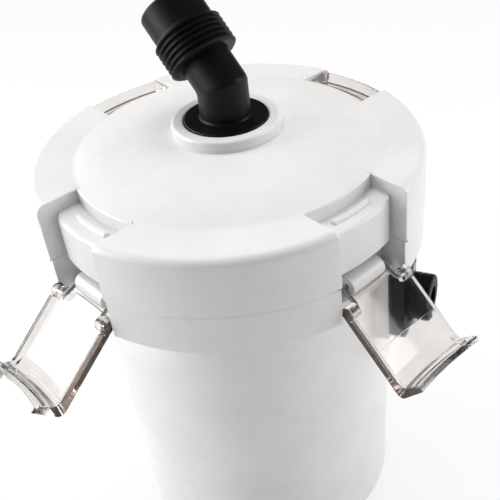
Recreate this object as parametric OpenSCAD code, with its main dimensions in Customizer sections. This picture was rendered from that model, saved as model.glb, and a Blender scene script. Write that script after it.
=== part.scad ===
// Round canister filter for an aquarium, in millimetres, +Z up.
// The origin is the centre of the underside of the foot ring, and the front looks along -Y.
// The head (lid, motor and pump) drops into the canister and is held by four latches on the
// diagonals. Each latch is a clear clip on a wire bail that runs through a moulded barrel.
// Here the two front latches hang open and the two rear ones are shut over the lid.

/* [Canister] */
// Height of the joint between canister and lid above the floor
parting_z = 190; // [180:1:230]
// Outer radius of the four raised blocks of the lid
block_r = 89; // [88:0.5:110]
// Radial step from the lid's blocks in to the collar's blocks
collar_inset = 0.6; // [0.2:0.1:2]
// Height of the collar
collar_h = 19; // [17:0.5:24]
// Outer radius of the shell right under the collar
shell_top_r = 72.5; // [70:0.5:74]
// Outer radius of the shell at its foot
shell_foot_r = 69.5; // [66:0.5:72]
// Thickness of the canister's wall
shell_wall = 2.6; // [2:0.1:4]
// Height of the rubber ring under the canister
feet_h = 5; // [3:0.5:10]

/* [Lid] */
// Height of the blocks above the joint
block_h = 27; // [25:0.5:34]
// Radius of the dome's edge
dome_r = 70.4; // [66:0.2:71]
// Rise of the dome from its edge to the outlet ring
dome_rise = 6; // [3:0.5:10]
// Thickness of the lid's skin
lid_wall = 3; // [2:0.1:4]
// Outer radius of the outlet's retaining ring
ring_r = 25; // [22:0.5:30]
// Height of the retaining ring
ring_h = 6; // [5:0.5:9]

/* [Latches] */
// Half the width of the notch that a clip swings into
notch_hw = 19.8; // [18:0.1:24]
// How deep the notch's face lies behind the blocks
notch_depth = 7; // [6:0.1:9]
// Gap between a clip and each wall of its notch
clip_side_gap = 0.6; // [0.3:0.1:1.5]
// Distance from the clip's pivot to the outside of its lip
clip_len = 40; // [38:0.5:46]
// Depth of the clip's lip past its pivot
lip_reach = 10.2; // [9.8:0.1:12]
// Thickness of the clip's plate
clip_t = 2.2; // [1.6:0.1:3]
// Radius of the bail's wire
wire_r = 1; // [0.8:0.05:1.3]
// Distance between the bail's two pivots
bail_reach = 9.84; // [9:0.1:12]
// Radius of the moulded barrel that carries the bail
barrel_r = 4.5; // [4:0.1:5]
// Half the length of the barrel
barrel_hl = 10; // [8:0.5:10.5]

/* [Hose fittings] */
// Outer radius of the outlet elbow's tube
elbow_r = 10.8; // [9:0.1:12]
// Bend of the outlet elbow from the vertical
elbow_tilt = 48; // [30:1:90]
// Height of the elbow's bend above its flange
elbow_rise = 22.2; // [18:0.1:30]
// Radius of the hose tails, for hose of 12 mm bore
tail_r = 6.2; // [5:0.1:8]
// Outer radius of the outlet's hose nut
nut_r = 16.35; // [15.5:0.1:20]
// Length of the ribbed part of the nut
nut_grip_l = 15.2; // [12:0.2:20]
// Length of the plain part of the nut
nut_nose_l = 14.4; // [10:0.2:20]
// Radius of the inlet's collar nut
inlet_r = 10; // [9.5:0.1:13]
// Depth of the inlet's centre below the joint
inlet_drop = 43; // [40:0.5:60]
// Direction of the inlet, from the front towards the right, in degrees
inlet_az = 69; // [60:1:90]

/* [Inside] */
// Wall of the baskets
basket_wall = 1.8; // [1.4:0.1:2.5]
// Gap between baskets and canister
basket_gap = 2.4; // [1.5:0.1:4]
// Distance of the impeller's axis behind the outlet
pump_y = 26; // [25:0.5:28]
// Radius of the impeller's shaft
shaft_r = 1.5; // [1:0.1:2.5]
// Radius of the rotor magnet
magnet_r = 10.8; // [9:0.1:12]

/* [Hidden] */
$fn = 96;
// Clearances by purpose
run_gap = 0.06;   // a shaft turning in its bore
seat_gap = 0.3;   // parts of different bodies that lie together
face_gap = 0.2;   // a disc turning on its seat
stop_gap = 0.05;  // a part resting on its stop
fit_gap = 0.5;    // a plug dropping into its bore

LATCH_AZ = [-45, 45, 135, 225];

// Canister
collar_r = block_r - collar_inset;
collar_z = parting_z - collar_h;
floor_t = 3;
foot_ring_r = shell_foot_r - 8;
floor_z = feet_h + floor_t;
mouth_r = shell_top_r - shell_wall;
foot_in_r = shell_foot_r - shell_wall;
mouth_l = 30;
notch_face_r = block_r - notch_depth;
recess_r = shell_top_r + 3.5;
deck_t = 4;
collar_wall = 3;
skin = 0.5;
rib_h = 4;
floor_rib_l = 100;
floor_rib_t = 2.4;
basket_z = floor_z + rib_h;

// Latch pivots: A in the canister's barrel, B at the far ends of the bail
pivot_a = [notch_face_r - 2.8, parting_z - 9.2];
bail_ang = -27.9;
pivot_b = pivot_a + bail_reach * [cos(bail_ang), sin(bail_ang)];
clip_hw = notch_hw - clip_side_gap;
open_ang = -41.5;
lip_t = 2;
plate_back = -5.4;
plate_in = plate_back + clip_t;
groove_x = clip_len - lip_t;
hook_x = groove_x - 0.35;
groove_y = [5, 8.7];
flange_t = 1.6;
flange_top = -0.2;
flange_round = 4;
lug_r = 3.2;
lug_in = clip_hw - 5.2;
clip_span = 40;  // degrees that a clip's outline is swept through, wider than the clip
bail_half = barrel_hl + 1.9;
bail_foot = lug_in - wire_r - 0.4;
// The heel behind the pivot meets the notch's face and stops the clip as it opens
heel = (pivot_b[0] - notch_face_r - stop_gap + plate_back * sin(-open_ang)) / cos(open_ang);
shelf_top = pivot_a[1] - barrel_r - 1;
// A clip shuts where the back of its lip stands just inside the blocks
shut_u = block_r - 2.4;
shut_ang = 90 + asin((pivot_b[0] - plate_back - shut_u) / clip_len);
// Where a point of the clip lies in the plane (distance from the axis, height) once shut
function shut(p) = pivot_b + [p[0] * cos(shut_ang) - p[1] * sin(shut_ang),
                              p[0] * sin(shut_ang) + p[1] * cos(shut_ang)];
groove_at = shut([groove_x, (groove_y[0] + groove_y[1]) / 2]);
bead_r = 1.4;
bead_gap = 0.6;
bead_hl = 11;
ledge_z = groove_at[1] - bead_r - bead_gap;
bead_u = groove_at[0];
bead_span = 2 * asin(bead_hl / bead_u);
ledge_round = 2;
notch_round = 3.4;
notch_wall = lid_wall + notch_round / 2;

// Lid
block_z = parting_z + block_h;
seat_z = block_z + dome_rise;
ring_z = seat_z + ring_h;
plug_r = mouth_r - fit_gap;
plug_wall = 4.5;
plug_l = 16;
base_t = 3;
base_z = parting_z + seat_gap;
base_r = notch_face_r - notch_wall - fit_gap;
boss_r = 4;
boss_at = plug_r - plug_wall - 6.5;
screw_r = 1.6;
screw_head_r = 3.2;
seal_r = 1.5;
seal_z = parting_z - 10;

// Outlet elbow
ring_in_r = 19.5;
flange_r = ring_in_r + 1.7;
flange_h = 2.6;
cap_r = ring_in_r - 0.15;
cap_top = ring_z + 1.4;
cap_round = 0.9;
cap_fillet = 1.5;
riser_bore = 9;
riser_wall = 2.5;
riser_r = riser_bore + riser_wall;
spigot_r = riser_bore - run_gap;
spigot_l = 18;
elbow_seal_r = 0.9;
elbow_seal_z = 10;
elbow_z = seat_z + face_gap;
bend_step = 0.1;  // the ball at the bend stands this far out of the legs
bend_z = elbow_z + elbow_rise;
elbow_az = 224;
bore_r = 6;
tail_bore = 4.4;
thread_r = 12.4;
nut_at = 12.9;
thread_l = 10;
tail_l = 15;
nut_bore = thread_r + run_gap;
nut_mouth = tail_r + 2.4;
nut_nose_r = nut_r - 2.05;
nut_ribs = 6;
rib_d = 1;

// Pump
well_r = magnet_r + 1.7;
well_wall = 2;
well_top = base_z + 19.5;
chamber_r = 20;
chamber_z = parting_z - 14;
chamber_wall = 2.4;
impeller_r = 17;
blade_n = 6;
blade_r = 14.4;
disc_z = parting_z - 3;
disc_t = 1.8;
magnet_top = well_top - 4.5;
shaft_z = [chamber_z - 1.5, well_top - 1];
intake_r = 9;
guard_drop = 8;
core_z = base_z + base_t + 5;
core_h = 12;
core_hw = 24;
core_front = pump_y - 13;
leg_in = 13;
yoke_y = 52;
yoke_t = 10;
pad_w = 8;
coil_t = 4;
coil_y = 41.5;
coil_l = 9;

// Inlet
inlet_z = parting_z - inlet_drop;
inlet_pad = shell_top_r + 5;
gasket_t = 1.5;
saddle_t = 6;
saddle_at = inlet_pad + gasket_t;
saddle_hw = 12;
saddle_hh = 21;
saddle_out = saddle_at + saddle_t;
neck_r = inlet_r - 2.4;
neck_end = saddle_out + 11;
nut_gap = 1.2;
inlet_bore = 6;
inlet_way = 5.4;
guard_depth = 4;
guard_t = 1.2;
inlet_screw_z = 15.5;
port_r = 7;
pipe_r = 8;
pipe_wall = 1.5;
pipe_at = foot_in_r - pipe_r - 1.5;

// Baskets
basket_r = foot_in_r - basket_gap;
basket_h = (chamber_z - guard_drop - 2 - basket_z) / 3;
slot_w = 3;
slot_pitch = 7.5;
slot_hl = 40;
pad_gap = 1;

// Cable gland
gland_r = 5.5;
gland_z = parting_z + 10;
gland_l = 8;
cord_r = 3.2;

// Helpers

// Turns a shape drawn along +X to a direction counted from the front towards the right
module at_az(az) rotate([0, 0, az - 90]) children();

// A ring of rectangular section
module ring(r_in, r_out, z0, z1) difference() {
    translate([0, 0, z0]) cylinder(r = r_out, h = z1 - z0);
    translate([0, 0, z0 - 1]) cylinder(r = r_in, h = z1 - z0 + 2);
}

// A torus with its centre line at radius r
module o_ring(r, section) rotate_extrude() translate([r, 0]) circle(r = section, $fn = 32);

// A round rod from p to q, run on past both ends so that it meets the next at a bend
module rod(p, q, r, past) {
    d = q - p;
    l = norm(d);
    translate(p - d * past / l) rotate([0, acos(d[2] / l), atan2(d[1], d[0])])
        cylinder(r = r, h = l + 2 * past, $fn = 32);
}

// A cylinder along X, from x0 to x1, at height z
module x_cyl(r, x0, x1, z = 0) translate([x0, 0, z]) rotate([0, 90, 0]) cylinder(r = r, h = x1 - x0);

// A cylinder along Y, centred
module y_cyl(r, half) rotate([90, 0, 0]) cylinder(r = r, h = 2 * half, center = true);

// An upright cylinder from z0 to z1
module post(r, z0, z1) translate([0, 0, z0]) cylinder(r = r, h = z1 - z0);

function arc(c, r, a0, a1, n = 8) = [
    for (i = [0:n]) let (a = a0 + (a1 - a0) * i / n) c + r * [cos(a), sin(a)]
];

// Notches

// The room a clip needs in the lid, grown by g for the wall around it: an upright face that
// rounds over into the ledge, and the wall behind the ledge
module lid_notch(g = 0) intersection() {
    translate([0, -notch_hw - g, parting_z - 2]) cube([block_r + 5, 2 * (notch_hw + g), block_h + 12]);
    rotate_extrude() polygon([
        [block_r + 6, parting_z - 3], [notch_face_r - g, parting_z - 3],
        each arc([notch_face_r - g - ledge_round, ledge_z - g - ledge_round], ledge_round, 0, 90, 6),
        [dome_r - g, ledge_z - g], [dome_r - g, block_z + 11], [block_r + 6, block_z + 11]
    ]);
}

// The room for a clip and its barrel in the collar
module collar_notch() intersection() {
    translate([0, -notch_hw, collar_z - 2]) cube([block_r + 5, 2 * notch_hw, collar_h + 4]);
    union() {
        ring(recess_r, block_r + 5, shelf_top, parting_z + 2);
        ring(notch_face_r, block_r + 5, collar_z - 2, parting_z);
    }
}

// Canister

module shell_profile() polygon([
    [0, feet_h], [shell_foot_r - 7, feet_h], each arc([shell_foot_r - 5, feet_h + 5], 5, -70, 0),
    [shell_top_r, collar_z], [shell_top_r, parting_z], [mouth_r, parting_z],
    [mouth_r, parting_z - mouth_l], [foot_in_r, floor_z], [0, floor_z]
]);

module hinge_barrel() {
    translate([pivot_a[0], 0, pivot_a[1]]) y_cyl(barrel_r, barrel_hl);
    translate([recess_r - 2, -barrel_hl, pivot_a[1] - barrel_r + 2])
        cube([pivot_a[0] - recess_r + 2, 2 * barrel_hl, 2 * barrel_r - 4]);
}

// The hollow under a block of the collar, open at its foot
module collar_pocket() {
    r = collar_r - collar_wall;
    span = 90 - 2 * asin((notch_hw + collar_wall) / r);
    rotate([0, 0, -span / 2]) rotate_extrude(angle = span)
        translate([shell_top_r + skin, collar_z - 1]) square([r - shell_top_r - skin, collar_h - deck_t + 1]);
}

module collar() {
    difference() {
        ring(shell_top_r - 1, collar_r, collar_z, parting_z);
        for (az = LATCH_AZ) at_az(az) {
            collar_notch();
            rotate([0, 0, 45]) collar_pocket();
        }
    }
    for (az = LATCH_AZ) at_az(az) hinge_barrel();
}

module inlet_boss() at_az(inlet_az)
    translate([foot_in_r, -saddle_hw, inlet_z - saddle_hh])
        cube([inlet_pad - foot_in_r, 2 * saddle_hw, 2 * saddle_hh]);

module canister() color("white") difference() {
    union() {
        rotate_extrude() shell_profile();
        collar();
        difference() {
            inlet_boss();
            cylinder(r = mouth_r, h = parting_z);
        }
        // Ribs on the floor that the lowest basket stands on
        for (a = [0, 60, 120]) rotate([0, 0, a + 30])
            translate([-floor_rib_l / 2, -floor_rib_t / 2, floor_z - 1])
                cube([floor_rib_l, floor_rib_t, rib_h + 1]);
    }
    for (az = LATCH_AZ) at_az(az)
        translate([pivot_a[0], 0, pivot_a[1]]) y_cyl(wire_r + run_gap, barrel_hl + 1);
    at_az(inlet_az) x_cyl(port_r, mouth_r - 8, inlet_pad + 1, inlet_z);
    at_az(inlet_az) for (s = [-1, 1])
        x_cyl(screw_r, inlet_pad - 5, inlet_pad + 1, inlet_z + s * inlet_screw_z);
}

// A rubber ring under the canister, rounded at its lower edges
module foot_ring() color("dimgray") rotate_extrude() polygon([
    [foot_ring_r - 9, feet_h], each arc([foot_ring_r - 7.5, 1.5], 1.5, 180, 270, 4),
    each arc([foot_ring_r - 1.5, 1.5], 1.5, 270, 360, 4), [foot_ring_r, feet_h]
]);

// Inlet

// Rounded plate outline in the plane square to the inlet
module saddle_outline(grow = 0) union() {
    square([2 * (saddle_hh - 6 + grow), 2 * (saddle_hw + grow)], center = true);
    square([2 * (saddle_hh + grow), 2 * (saddle_hw - 6 + grow)], center = true);
    for (x = [-1, 1], y = [-1, 1]) translate([x * (saddle_hh - 6), y * (saddle_hw - 6)]) circle(r = 6 + grow);
}

module inlet_plate(at, t) translate([at, 0, inlet_z]) rotate([0, 90, 0]) linear_extrude(t) difference() {
    saddle_outline();
    circle(r = port_r);
    for (s = [-1, 1]) translate([s * inlet_screw_z, 0]) circle(r = screw_r + 0.2);
}

module inlet_gasket() color([0.25, 0.25, 0.26]) at_az(inlet_az) inlet_plate(inlet_pad, gasket_t);

module inlet_housing() color([0.1, 0.1, 0.11]) at_az(inlet_az) difference() {
    union() {
        inlet_plate(saddle_at, saddle_t);
        x_cyl(neck_r, saddle_at, neck_end, inlet_z);
    }
    x_cyl(inlet_bore, neck_end - guard_depth, neck_end + 1, inlet_z);
    // The way behind the mouth, with two upright guard bars left standing in it
    difference() {
        x_cyl(inlet_way, saddle_at - 1, neck_end, inlet_z);
        for (s = [-1, 1])
            translate([saddle_at - 2, (s * inlet_way * 0.84 - guard_t) / 2, inlet_z - inlet_bore - 1])
                cube([neck_end - saddle_at + 2 - guard_depth, guard_t, 2 * inlet_bore + 2]);
    }
}

module pan_screw(l) {
    cylinder(r = screw_r - 0.1, h = l, $fn = 32);
    translate([0, 0, -2]) cylinder(r = screw_head_r, h = 2, $fn = 48);
}

module inlet_screws() color("silver") at_az(inlet_az) for (s = [-1, 1])
    translate([saddle_out, 0, inlet_z + s * inlet_screw_z]) rotate([0, -90, 0])
        pan_screw(saddle_t + gasket_t + 4);

module inlet_nut() color([0.1, 0.1, 0.11]) at_az(inlet_az) translate([saddle_out + nut_gap, 0, inlet_z])
    rotate([0, 90, 0]) rotate_extrude() polygon([
        [neck_r + run_gap, 0], [inlet_r - 0.6, 0], [inlet_r, 0.6],
        each arc([inlet_r - 1.5, neck_end - saddle_out - nut_gap - 1.5], 1.5, 0, 90, 6),
        [neck_r + run_gap, neck_end - saddle_out - nut_gap]
    ]);

module down_pipe() color([0.16, 0.16, 0.17]) at_az(inlet_az) difference() {
    union() {
        translate([pipe_at, 0, basket_z]) cylinder(r = pipe_r, h = inlet_z + port_r + 4 - basket_z);
        x_cyl(port_r - 0.1, pipe_at, inlet_pad - 1, inlet_z);
    }
    translate([pipe_at, 0, basket_z - 1])
        cylinder(r = pipe_r - pipe_wall, h = inlet_z + port_r + 3 - basket_z);
    x_cyl(port_r - pipe_wall, pipe_at, inlet_pad, inlet_z);
    for (y = [-1, 1]) translate([pipe_at - pipe_r - 1, y * 3 - 1, basket_z - 1]) cube([2 * pipe_r + 2, 2, 6]);
}

// Baskets

// Plan of a basket: a disc with a bay for the down pipe
module basket_plan(inset = 0) difference() {
    circle(r = basket_r - inset);
    rotate(inlet_az - 90) union() {
        translate([pipe_at, 0]) circle(r = pipe_r + 1.5 + inset);
        translate([pipe_at, -pipe_r - 1.5 - inset]) square([30, 2 * (pipe_r + 1.5 + inset)]);
    }
}

module basket(i) color([0.22, 0.22, 0.24]) translate([0, 0, basket_z + i * basket_h]) {
    difference() {
        linear_extrude(basket_h) basket_plan();
        translate([0, 0, 2]) linear_extrude(basket_h) basket_plan(basket_wall);
        // Slots across the floor
        for (k = [-6:6]) let (half = slot_hl - 3 * abs(k))
            translate([-half, k * slot_pitch - slot_w / 2, -1]) cube([2 * half, slot_w, 4]);
        // Windows round the wall, clear of the bay
        for (k = [0:15]) rotate([0, 0, inlet_az - 90 + 30 + k * 20])
            translate([basket_r - 4, -slot_w / 2, 8]) cube([8, slot_w, basket_h - 16]);
    }
}

module sponge(i, h) translate([0, 0, basket_z + i * basket_h + 2.3])
    linear_extrude(h) basket_plan(basket_wall + pad_gap);

// Lid

function dome_z(r) = seat_z - dome_rise * pow((r - ring_r) / (dome_r - ring_r), 2);
dome_line = [for (k = [1:8]) let (r = dome_r - (dome_r - ring_r) * k / 8) [r, dome_z(r)]];

module lid_outer() rotate_extrude() polygon([
    [0, parting_z], [block_r, parting_z], each arc([block_r - 4, block_z - 4.2], 4, 0, 80),
    [dome_r, block_z], each dome_line, [0, seat_z]
]);

module lid_inner() rotate_extrude() polygon([
    [0, parting_z - 1], [block_r - lid_wall, parting_z - 1], [block_r - lid_wall, block_z - lid_wall - 3],
    [block_r - lid_wall - 3, block_z - lid_wall],
    [dome_r, block_z - lid_wall], for (p = dome_line) p - [0, lid_wall], [0, seat_z - lid_wall]
]);

// The face of a notch ends in a rounded upright edge beside each wall
module notch_edge(s) {
    e = notch_round;
    u = sqrt(pow(notch_face_r, 2) - pow(notch_hw, 2));
    translate([0, s * notch_hw, parting_z - 2]) difference() {
        translate([u - e, s > 0 ? -e : 0, 0]) cube([e + 3, e, ledge_z - parting_z + 3]);
        translate([u - e, -s * e, -1]) cylinder(r = e, h = ledge_z - parting_z + 5);
    }
}

// Raised bead on the ledge that the clip's lip snaps over
module snap_bead() intersection() {
    rotate([0, 0, -bead_span / 2]) rotate_extrude(angle = bead_span)
        translate([bead_u, ledge_z]) circle(r = bead_r, $fn = 32);
    ring(dome_r, block_r, ledge_z - 1, ledge_z + bead_r + 1);
}

module lid_cover() color("white") difference() {
    union() {
        difference() {
            lid_outer();
            for (az = LATCH_AZ) at_az(az) {
                lid_notch();
                for (s = [-1, 1]) notch_edge(s);
            }
            difference() {
                lid_inner();
                for (az = LATCH_AZ) at_az(az) lid_notch(notch_wall);
            }
        }
        for (az = LATCH_AZ) at_az(az) snap_bead();
        for (az = LATCH_AZ) at_az(az) translate([boss_at, 0, 0])
            post(boss_r, base_z + base_t, dome_z(boss_at + boss_r) - 0.3 * lid_wall);
    }
    translate([0, 0, seat_z - lid_wall - 1]) cylinder(r = riser_r + fit_gap, h = lid_wall + 2);
    for (az = LATCH_AZ) at_az(az) translate([boss_at, 0, 0]) post(screw_r, base_z, base_z + 14);
    at_az(180) x_cyl(gland_r, block_r - lid_wall - 2, block_r + 2, gland_z);
}

module outlet_ring() color("white") rotate_extrude() polygon([
    [flange_r + 0.4, seat_z], [ring_r, seat_z], each arc([ring_r - 1.5, ring_z - 1.5], 1.5, 0, 90, 6),
    each arc([ring_in_r + 1, ring_z - 1], 1, 90, 180, 6), [ring_in_r, seat_z + flange_h + 2 * face_gap],
    [flange_r + 0.4, seat_z + flange_h + 2 * face_gap]
]);

// Plan of the pump's chamber: the impeller's circle running into the riser
module chamber_plan(grow = 0) {
    r1 = chamber_r + grow;
    r2 = riser_bore + grow;
    a = asin((r1 - r2) / pump_y);
    translate([0, pump_y]) circle(r = r1);
    circle(r = r2);
    polygon([[r2 * cos(a), -r2 * sin(a)], [r1 * cos(a), pump_y - r1 * sin(a)],
             [-r1 * cos(a), pump_y - r1 * sin(a)], [-r2 * cos(a), -r2 * sin(a)]]);
}

module pump_base() color([0.2, 0.2, 0.22]) difference() {
    union() {
        translate([0, 0, base_z]) cylinder(r = base_r, h = base_t);
        ring(plug_r - plug_wall, plug_r, parting_z - plug_l, base_z + 1);
        translate([0, 0, chamber_z]) linear_extrude(base_z - chamber_z + 1) chamber_plan(chamber_wall);
        post(riser_r, base_z, seat_z - 1);
        translate([0, pump_y, 0]) post(well_r + well_wall, base_z, well_top + well_wall);
        // Two pads that the motor's core stands on
        for (s = [-1, 1]) translate([s * (core_hw - 5) - pad_w / 2, yoke_y + 1, base_z])
            cube([pad_w, yoke_t - 2, core_z - base_z]);
    }
    translate([0, 0, chamber_z - 1]) linear_extrude(base_z - chamber_z + 1) chamber_plan();
    post(riser_bore, base_z - 1, seat_z + 1);
    translate([0, pump_y, 0]) post(well_r, base_z - 1, well_top);
    // Groove for the lid's seal
    ring(plug_r - 2 * seal_r + 0.2, plug_r + 1, seal_z - seal_r - 0.3, seal_z + seal_r + 0.3);
    for (az = LATCH_AZ) at_az(az)
        translate([boss_at, 0, 0]) post(screw_r + 0.2, base_z - 1, base_z + base_t + 1);
}

module lid_seal() color([0.12, 0.12, 0.13]) translate([0, 0, seal_z]) o_ring(plug_r + 0.3 - seal_r, seal_r);

module lid_screws() color("silver") for (az = LATCH_AZ) at_az(az)
    translate([boss_at, 0, base_z]) pan_screw(12);

// A U-shaped core: two poles that hug the rotor's well, two legs and a yoke behind them
module stator_core() color([0.45, 0.45, 0.47]) difference() {
    translate([-core_hw, core_front, core_z]) cube([2 * core_hw, yoke_y + yoke_t - core_front, core_h]);
    translate([0, pump_y, 0]) post(well_r + well_wall + fit_gap, core_z - 1, core_z + core_h + 1);
    translate([-leg_in, pump_y, core_z - 1]) cube([2 * leg_in, yoke_y - pump_y, core_h + 2]);
}

// One coil round each leg
module stator_coils() color([0.55, 0.3, 0.14]) for (s = [-1, 1])
    translate([s * (core_hw + leg_in) / 2, coil_y, core_z + core_h / 2]) rotate([-90, 0, 0])
        linear_extrude(coil_l) difference() {
            square([core_hw - leg_in + 2 * coil_t, core_h + 2 * coil_t], center = true);
            square([core_hw - leg_in + 2 * face_gap, core_h + 2 * face_gap], center = true);
        }

module impeller_cover() color([0.2, 0.2, 0.22]) difference() {
    union() {
        translate([0, 0, chamber_z - 2.5]) linear_extrude(2.5) chamber_plan(chamber_wall);
        translate([0, pump_y, chamber_z - guard_drop]) ring(intake_r, intake_r + 2, 0, 6);
        translate([0, pump_y, chamber_z - guard_drop]) cylinder(r = 3.4, h = 8);
        for (a = [0:60:179]) translate([0, pump_y, chamber_z - guard_drop]) rotate([0, 0, a])
            translate([-intake_r - 1, -0.8, 0]) cube([2 * intake_r + 2, 1.6, 3]);
    }
    translate([0, pump_y, chamber_z - 5]) ring(3.4, intake_r, 0, 6);
    translate([0, pump_y, chamber_z - 4]) cylinder(r = 2.6, h = 5);
}

module impeller_shaft() color("ivory") translate([0, pump_y, 0]) post(shaft_r, shaft_z[0], shaft_z[1]);

module shaft_bushings() color([0.15, 0.15, 0.16]) translate([0, pump_y, 0]) difference() {
    union() {
        post(2.6, chamber_z - 4, chamber_z + 0.5);
        post(4, well_top - 3, well_top);
    }
    post(shaft_r, shaft_z[0], shaft_z[1]);
}

// Plan of the curved blades
module blades() for (k = [0:blade_n - 1]) rotate(k * 360 / blade_n) intersection() {
    difference() {
        translate([0, blade_r]) circle(r = blade_r + 0.7);
        translate([0, blade_r]) circle(r = blade_r - 0.7);
    }
    translate([3, -2]) square(impeller_r);
    circle(r = impeller_r - 0.6);
}

module impeller() color([0.85, 0.85, 0.83]) translate([0, pump_y, 0]) difference() {
    union() {
        post(impeller_r, disc_z, disc_z + disc_t);
        post(4.2, chamber_z + 1, disc_z);
        translate([0, 0, chamber_z + 2]) linear_extrude(disc_z - chamber_z - 1.5) blades();
    }
    post(shaft_r + run_gap, chamber_z, disc_z + 3);
}

module rotor_magnet() color([0.3, 0.3, 0.32]) translate([0, pump_y, 0]) difference() {
    post(magnet_r, disc_z + disc_t, magnet_top);
    post(shaft_r + run_gap, disc_z, magnet_top + 1);
}

module cable_gland() color([0.12, 0.12, 0.13]) at_az(180) translate([block_r, 0, gland_z]) rotate([0, 90, 0])
    rotate_extrude() polygon([
        [cord_r, -lid_wall - 3], [gland_r - 0.1, -lid_wall - 3], [gland_r - 0.1, 0], [gland_r + 2, 0],
        [gland_r + 2, 2], [gland_r - 0.6, 3], [cord_r + 1.2, gland_l], [cord_r, gland_l]
    ]);

// Outlet elbow and nut

// Moves a shape drawn along +Z to the upper leg of the elbow, with its zero at the bend
module on_leg() translate([0, 0, bend_z]) rotate([0, 0, elbow_az - 90]) rotate([0, elbow_tilt, 0]) children();

// Both legs, and the ball that rounds the corner between them
module elbow_solid(r, z0) {
    post(r, z0, bend_z);
    translate([0, 0, bend_z]) sphere(r = r + bend_step);
    on_leg() post(r, 0, nut_at + 1);
}

module outlet_elbow() color([0.08, 0.08, 0.09]) difference() {
    union() {
        elbow_solid(elbow_r, elbow_z);
        // The flange under the ring, and the cap that stands up through it
        rotate_extrude() polygon([
            [0, elbow_z], [flange_r, elbow_z], [flange_r, elbow_z + flange_h], [cap_r, elbow_z + flange_h],
            each arc([cap_r - cap_round, cap_top - cap_round], cap_round, 0, 90, 6),
            [elbow_r + cap_fillet, cap_top], [elbow_r, cap_top + cap_fillet], [0, cap_top + cap_fillet]
        ]);
        post(spigot_r, elbow_z - spigot_l, elbow_z + 1);
        on_leg() {
            post(thread_r, nut_at + 0.6, nut_at + thread_l);
            post(tail_r, nut_at, nut_at + thread_l + tail_l);
        }
    }
    elbow_solid(bore_r, elbow_z - spigot_l - 1);
    on_leg() post(tail_bore, nut_at, nut_at + thread_l + tail_l + 1);
    // Groove for the elbow's seal
    translate([0, 0, elbow_z - elbow_seal_z])
        ring(spigot_r - 2 * elbow_seal_r, spigot_r + 1, -elbow_seal_r - 0.2, elbow_seal_r + 0.2);
}

module elbow_seal() color([0.12, 0.12, 0.13]) translate([0, 0, elbow_z - elbow_seal_z])
    o_ring(spigot_r - elbow_seal_r, elbow_seal_r);

module outlet_nut() color([0.08, 0.08, 0.09]) on_leg() translate([0, 0, nut_at]) rotate_extrude() polygon([
    [nut_bore, 0], [nut_r - rib_d, 0],
    for (k = [0:nut_ribs - 1]) each let (p = nut_grip_l / nut_ribs) [
        [nut_r, (k + 0.3) * p], [nut_r, (k + 0.6) * p],
        [nut_r - rib_d, (k + 0.8) * p], [nut_r - rib_d, (k + 1) * p]
    ],
    [nut_nose_r, nut_grip_l + 0.8],
    each arc([nut_nose_r - 1.5, nut_grip_l + nut_nose_l - 1.5], 1.5, 0, 90, 6),
    [nut_mouth, nut_grip_l + nut_nose_l], [nut_mouth, nut_grip_l + 2], [nut_bore, nut_grip_l - 3]
]);

// Latches

// Moves a clip from its own frame (X along the plate, Z towards its inside) to the latch
module on_bail(ang) translate([pivot_b[0], 0, pivot_b[1]]) rotate([0, -ang, 0]) children();

module bail() color("silver") {
    past = 0.9 * wire_r;
    translate([pivot_a[0], 0, pivot_a[1]]) y_cyl(wire_r, bail_half + past);
    for (s = [-1, 1]) {
        a = [pivot_a[0], s * bail_half, pivot_a[1]];
        b = [pivot_b[0], s * bail_foot, pivot_b[1]];
        end = [pivot_b[0], s * (clip_hw - flange_t - past), pivot_b[1]];
        rod(a, b, wire_r, past);
        rod(b, end, wire_r, past);
    }
}

// Outline of the plate with its heel and lip, in the clip's own plane
clip_points = [
    [-heel, plate_back], each arc([clip_len - 3, plate_back + 3], 3, -90, 0),
    [clip_len, lip_reach - 0.6], [clip_len - 0.6, lip_reach],
    [hook_x + 0.4, lip_reach], [hook_x, lip_reach - 0.4],
    [hook_x, groove_y[1] + 0.3], [groove_x, groove_y[1]], [groove_x, groove_y[0]],
    [groove_x - 1.5, groove_y[0] - 0.2], each arc([groove_x - 8.1, 3.4], 3.4 - plate_in, 0, -90),
    [-heel, plate_in]
];

// Outline of a side flange, which starts inside the plate and ends inside the lip
flange_points = [
    [3, plate_back + clip_t / 2], [groove_x + lip_t / 2, plate_back + clip_t / 2],
    [groove_x + lip_t / 2, lip_reach - 1], [groove_x - 1.2, lip_reach - 2.2],
    each arc([groove_x - 1.2 - flange_round, flange_top + flange_round], flange_round, 0, -90),
    [3, flange_top]
];

// A strip of the clip from y0 to y1. Shut, the clip follows the round of the lid, so its outline is
// swept about the lid's axis there and moved back into the clip's own frame.
module clip_strip(points, y0, y1) intersection() {
    rotate([0, shut_ang, 0]) translate([-pivot_b[0], 0, -pivot_b[1]]) rotate([0, 0, -clip_span / 2])
        rotate_extrude(angle = clip_span) polygon([for (p = points) shut(p)]);
    translate([-clip_len, y0, -clip_len]) cube([3 * clip_len, y1 - y0, 2 * clip_len]);
}

module clip() color([0.75, 0.77, 0.78, 0.6]) difference() {
    union() {
        clip_strip(clip_points, -clip_hw, clip_hw);
        clip_strip(flange_points, -clip_hw, flange_t - clip_hw);
        clip_strip(flange_points, clip_hw - flange_t, clip_hw);
        // Ears that the wire turns in
        for (s = [-1, 1]) translate([0, s * (clip_hw + lug_in) / 2, 0]) y_cyl(lug_r, (clip_hw - lug_in) / 2);
    }
    y_cyl(wire_r + run_gap, clip_hw - flange_t + 0.1);
}

module latch_bail(az) at_az(az) bail();
module latch_clip(az, ang) at_az(az) on_bail(ang) clip();

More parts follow.
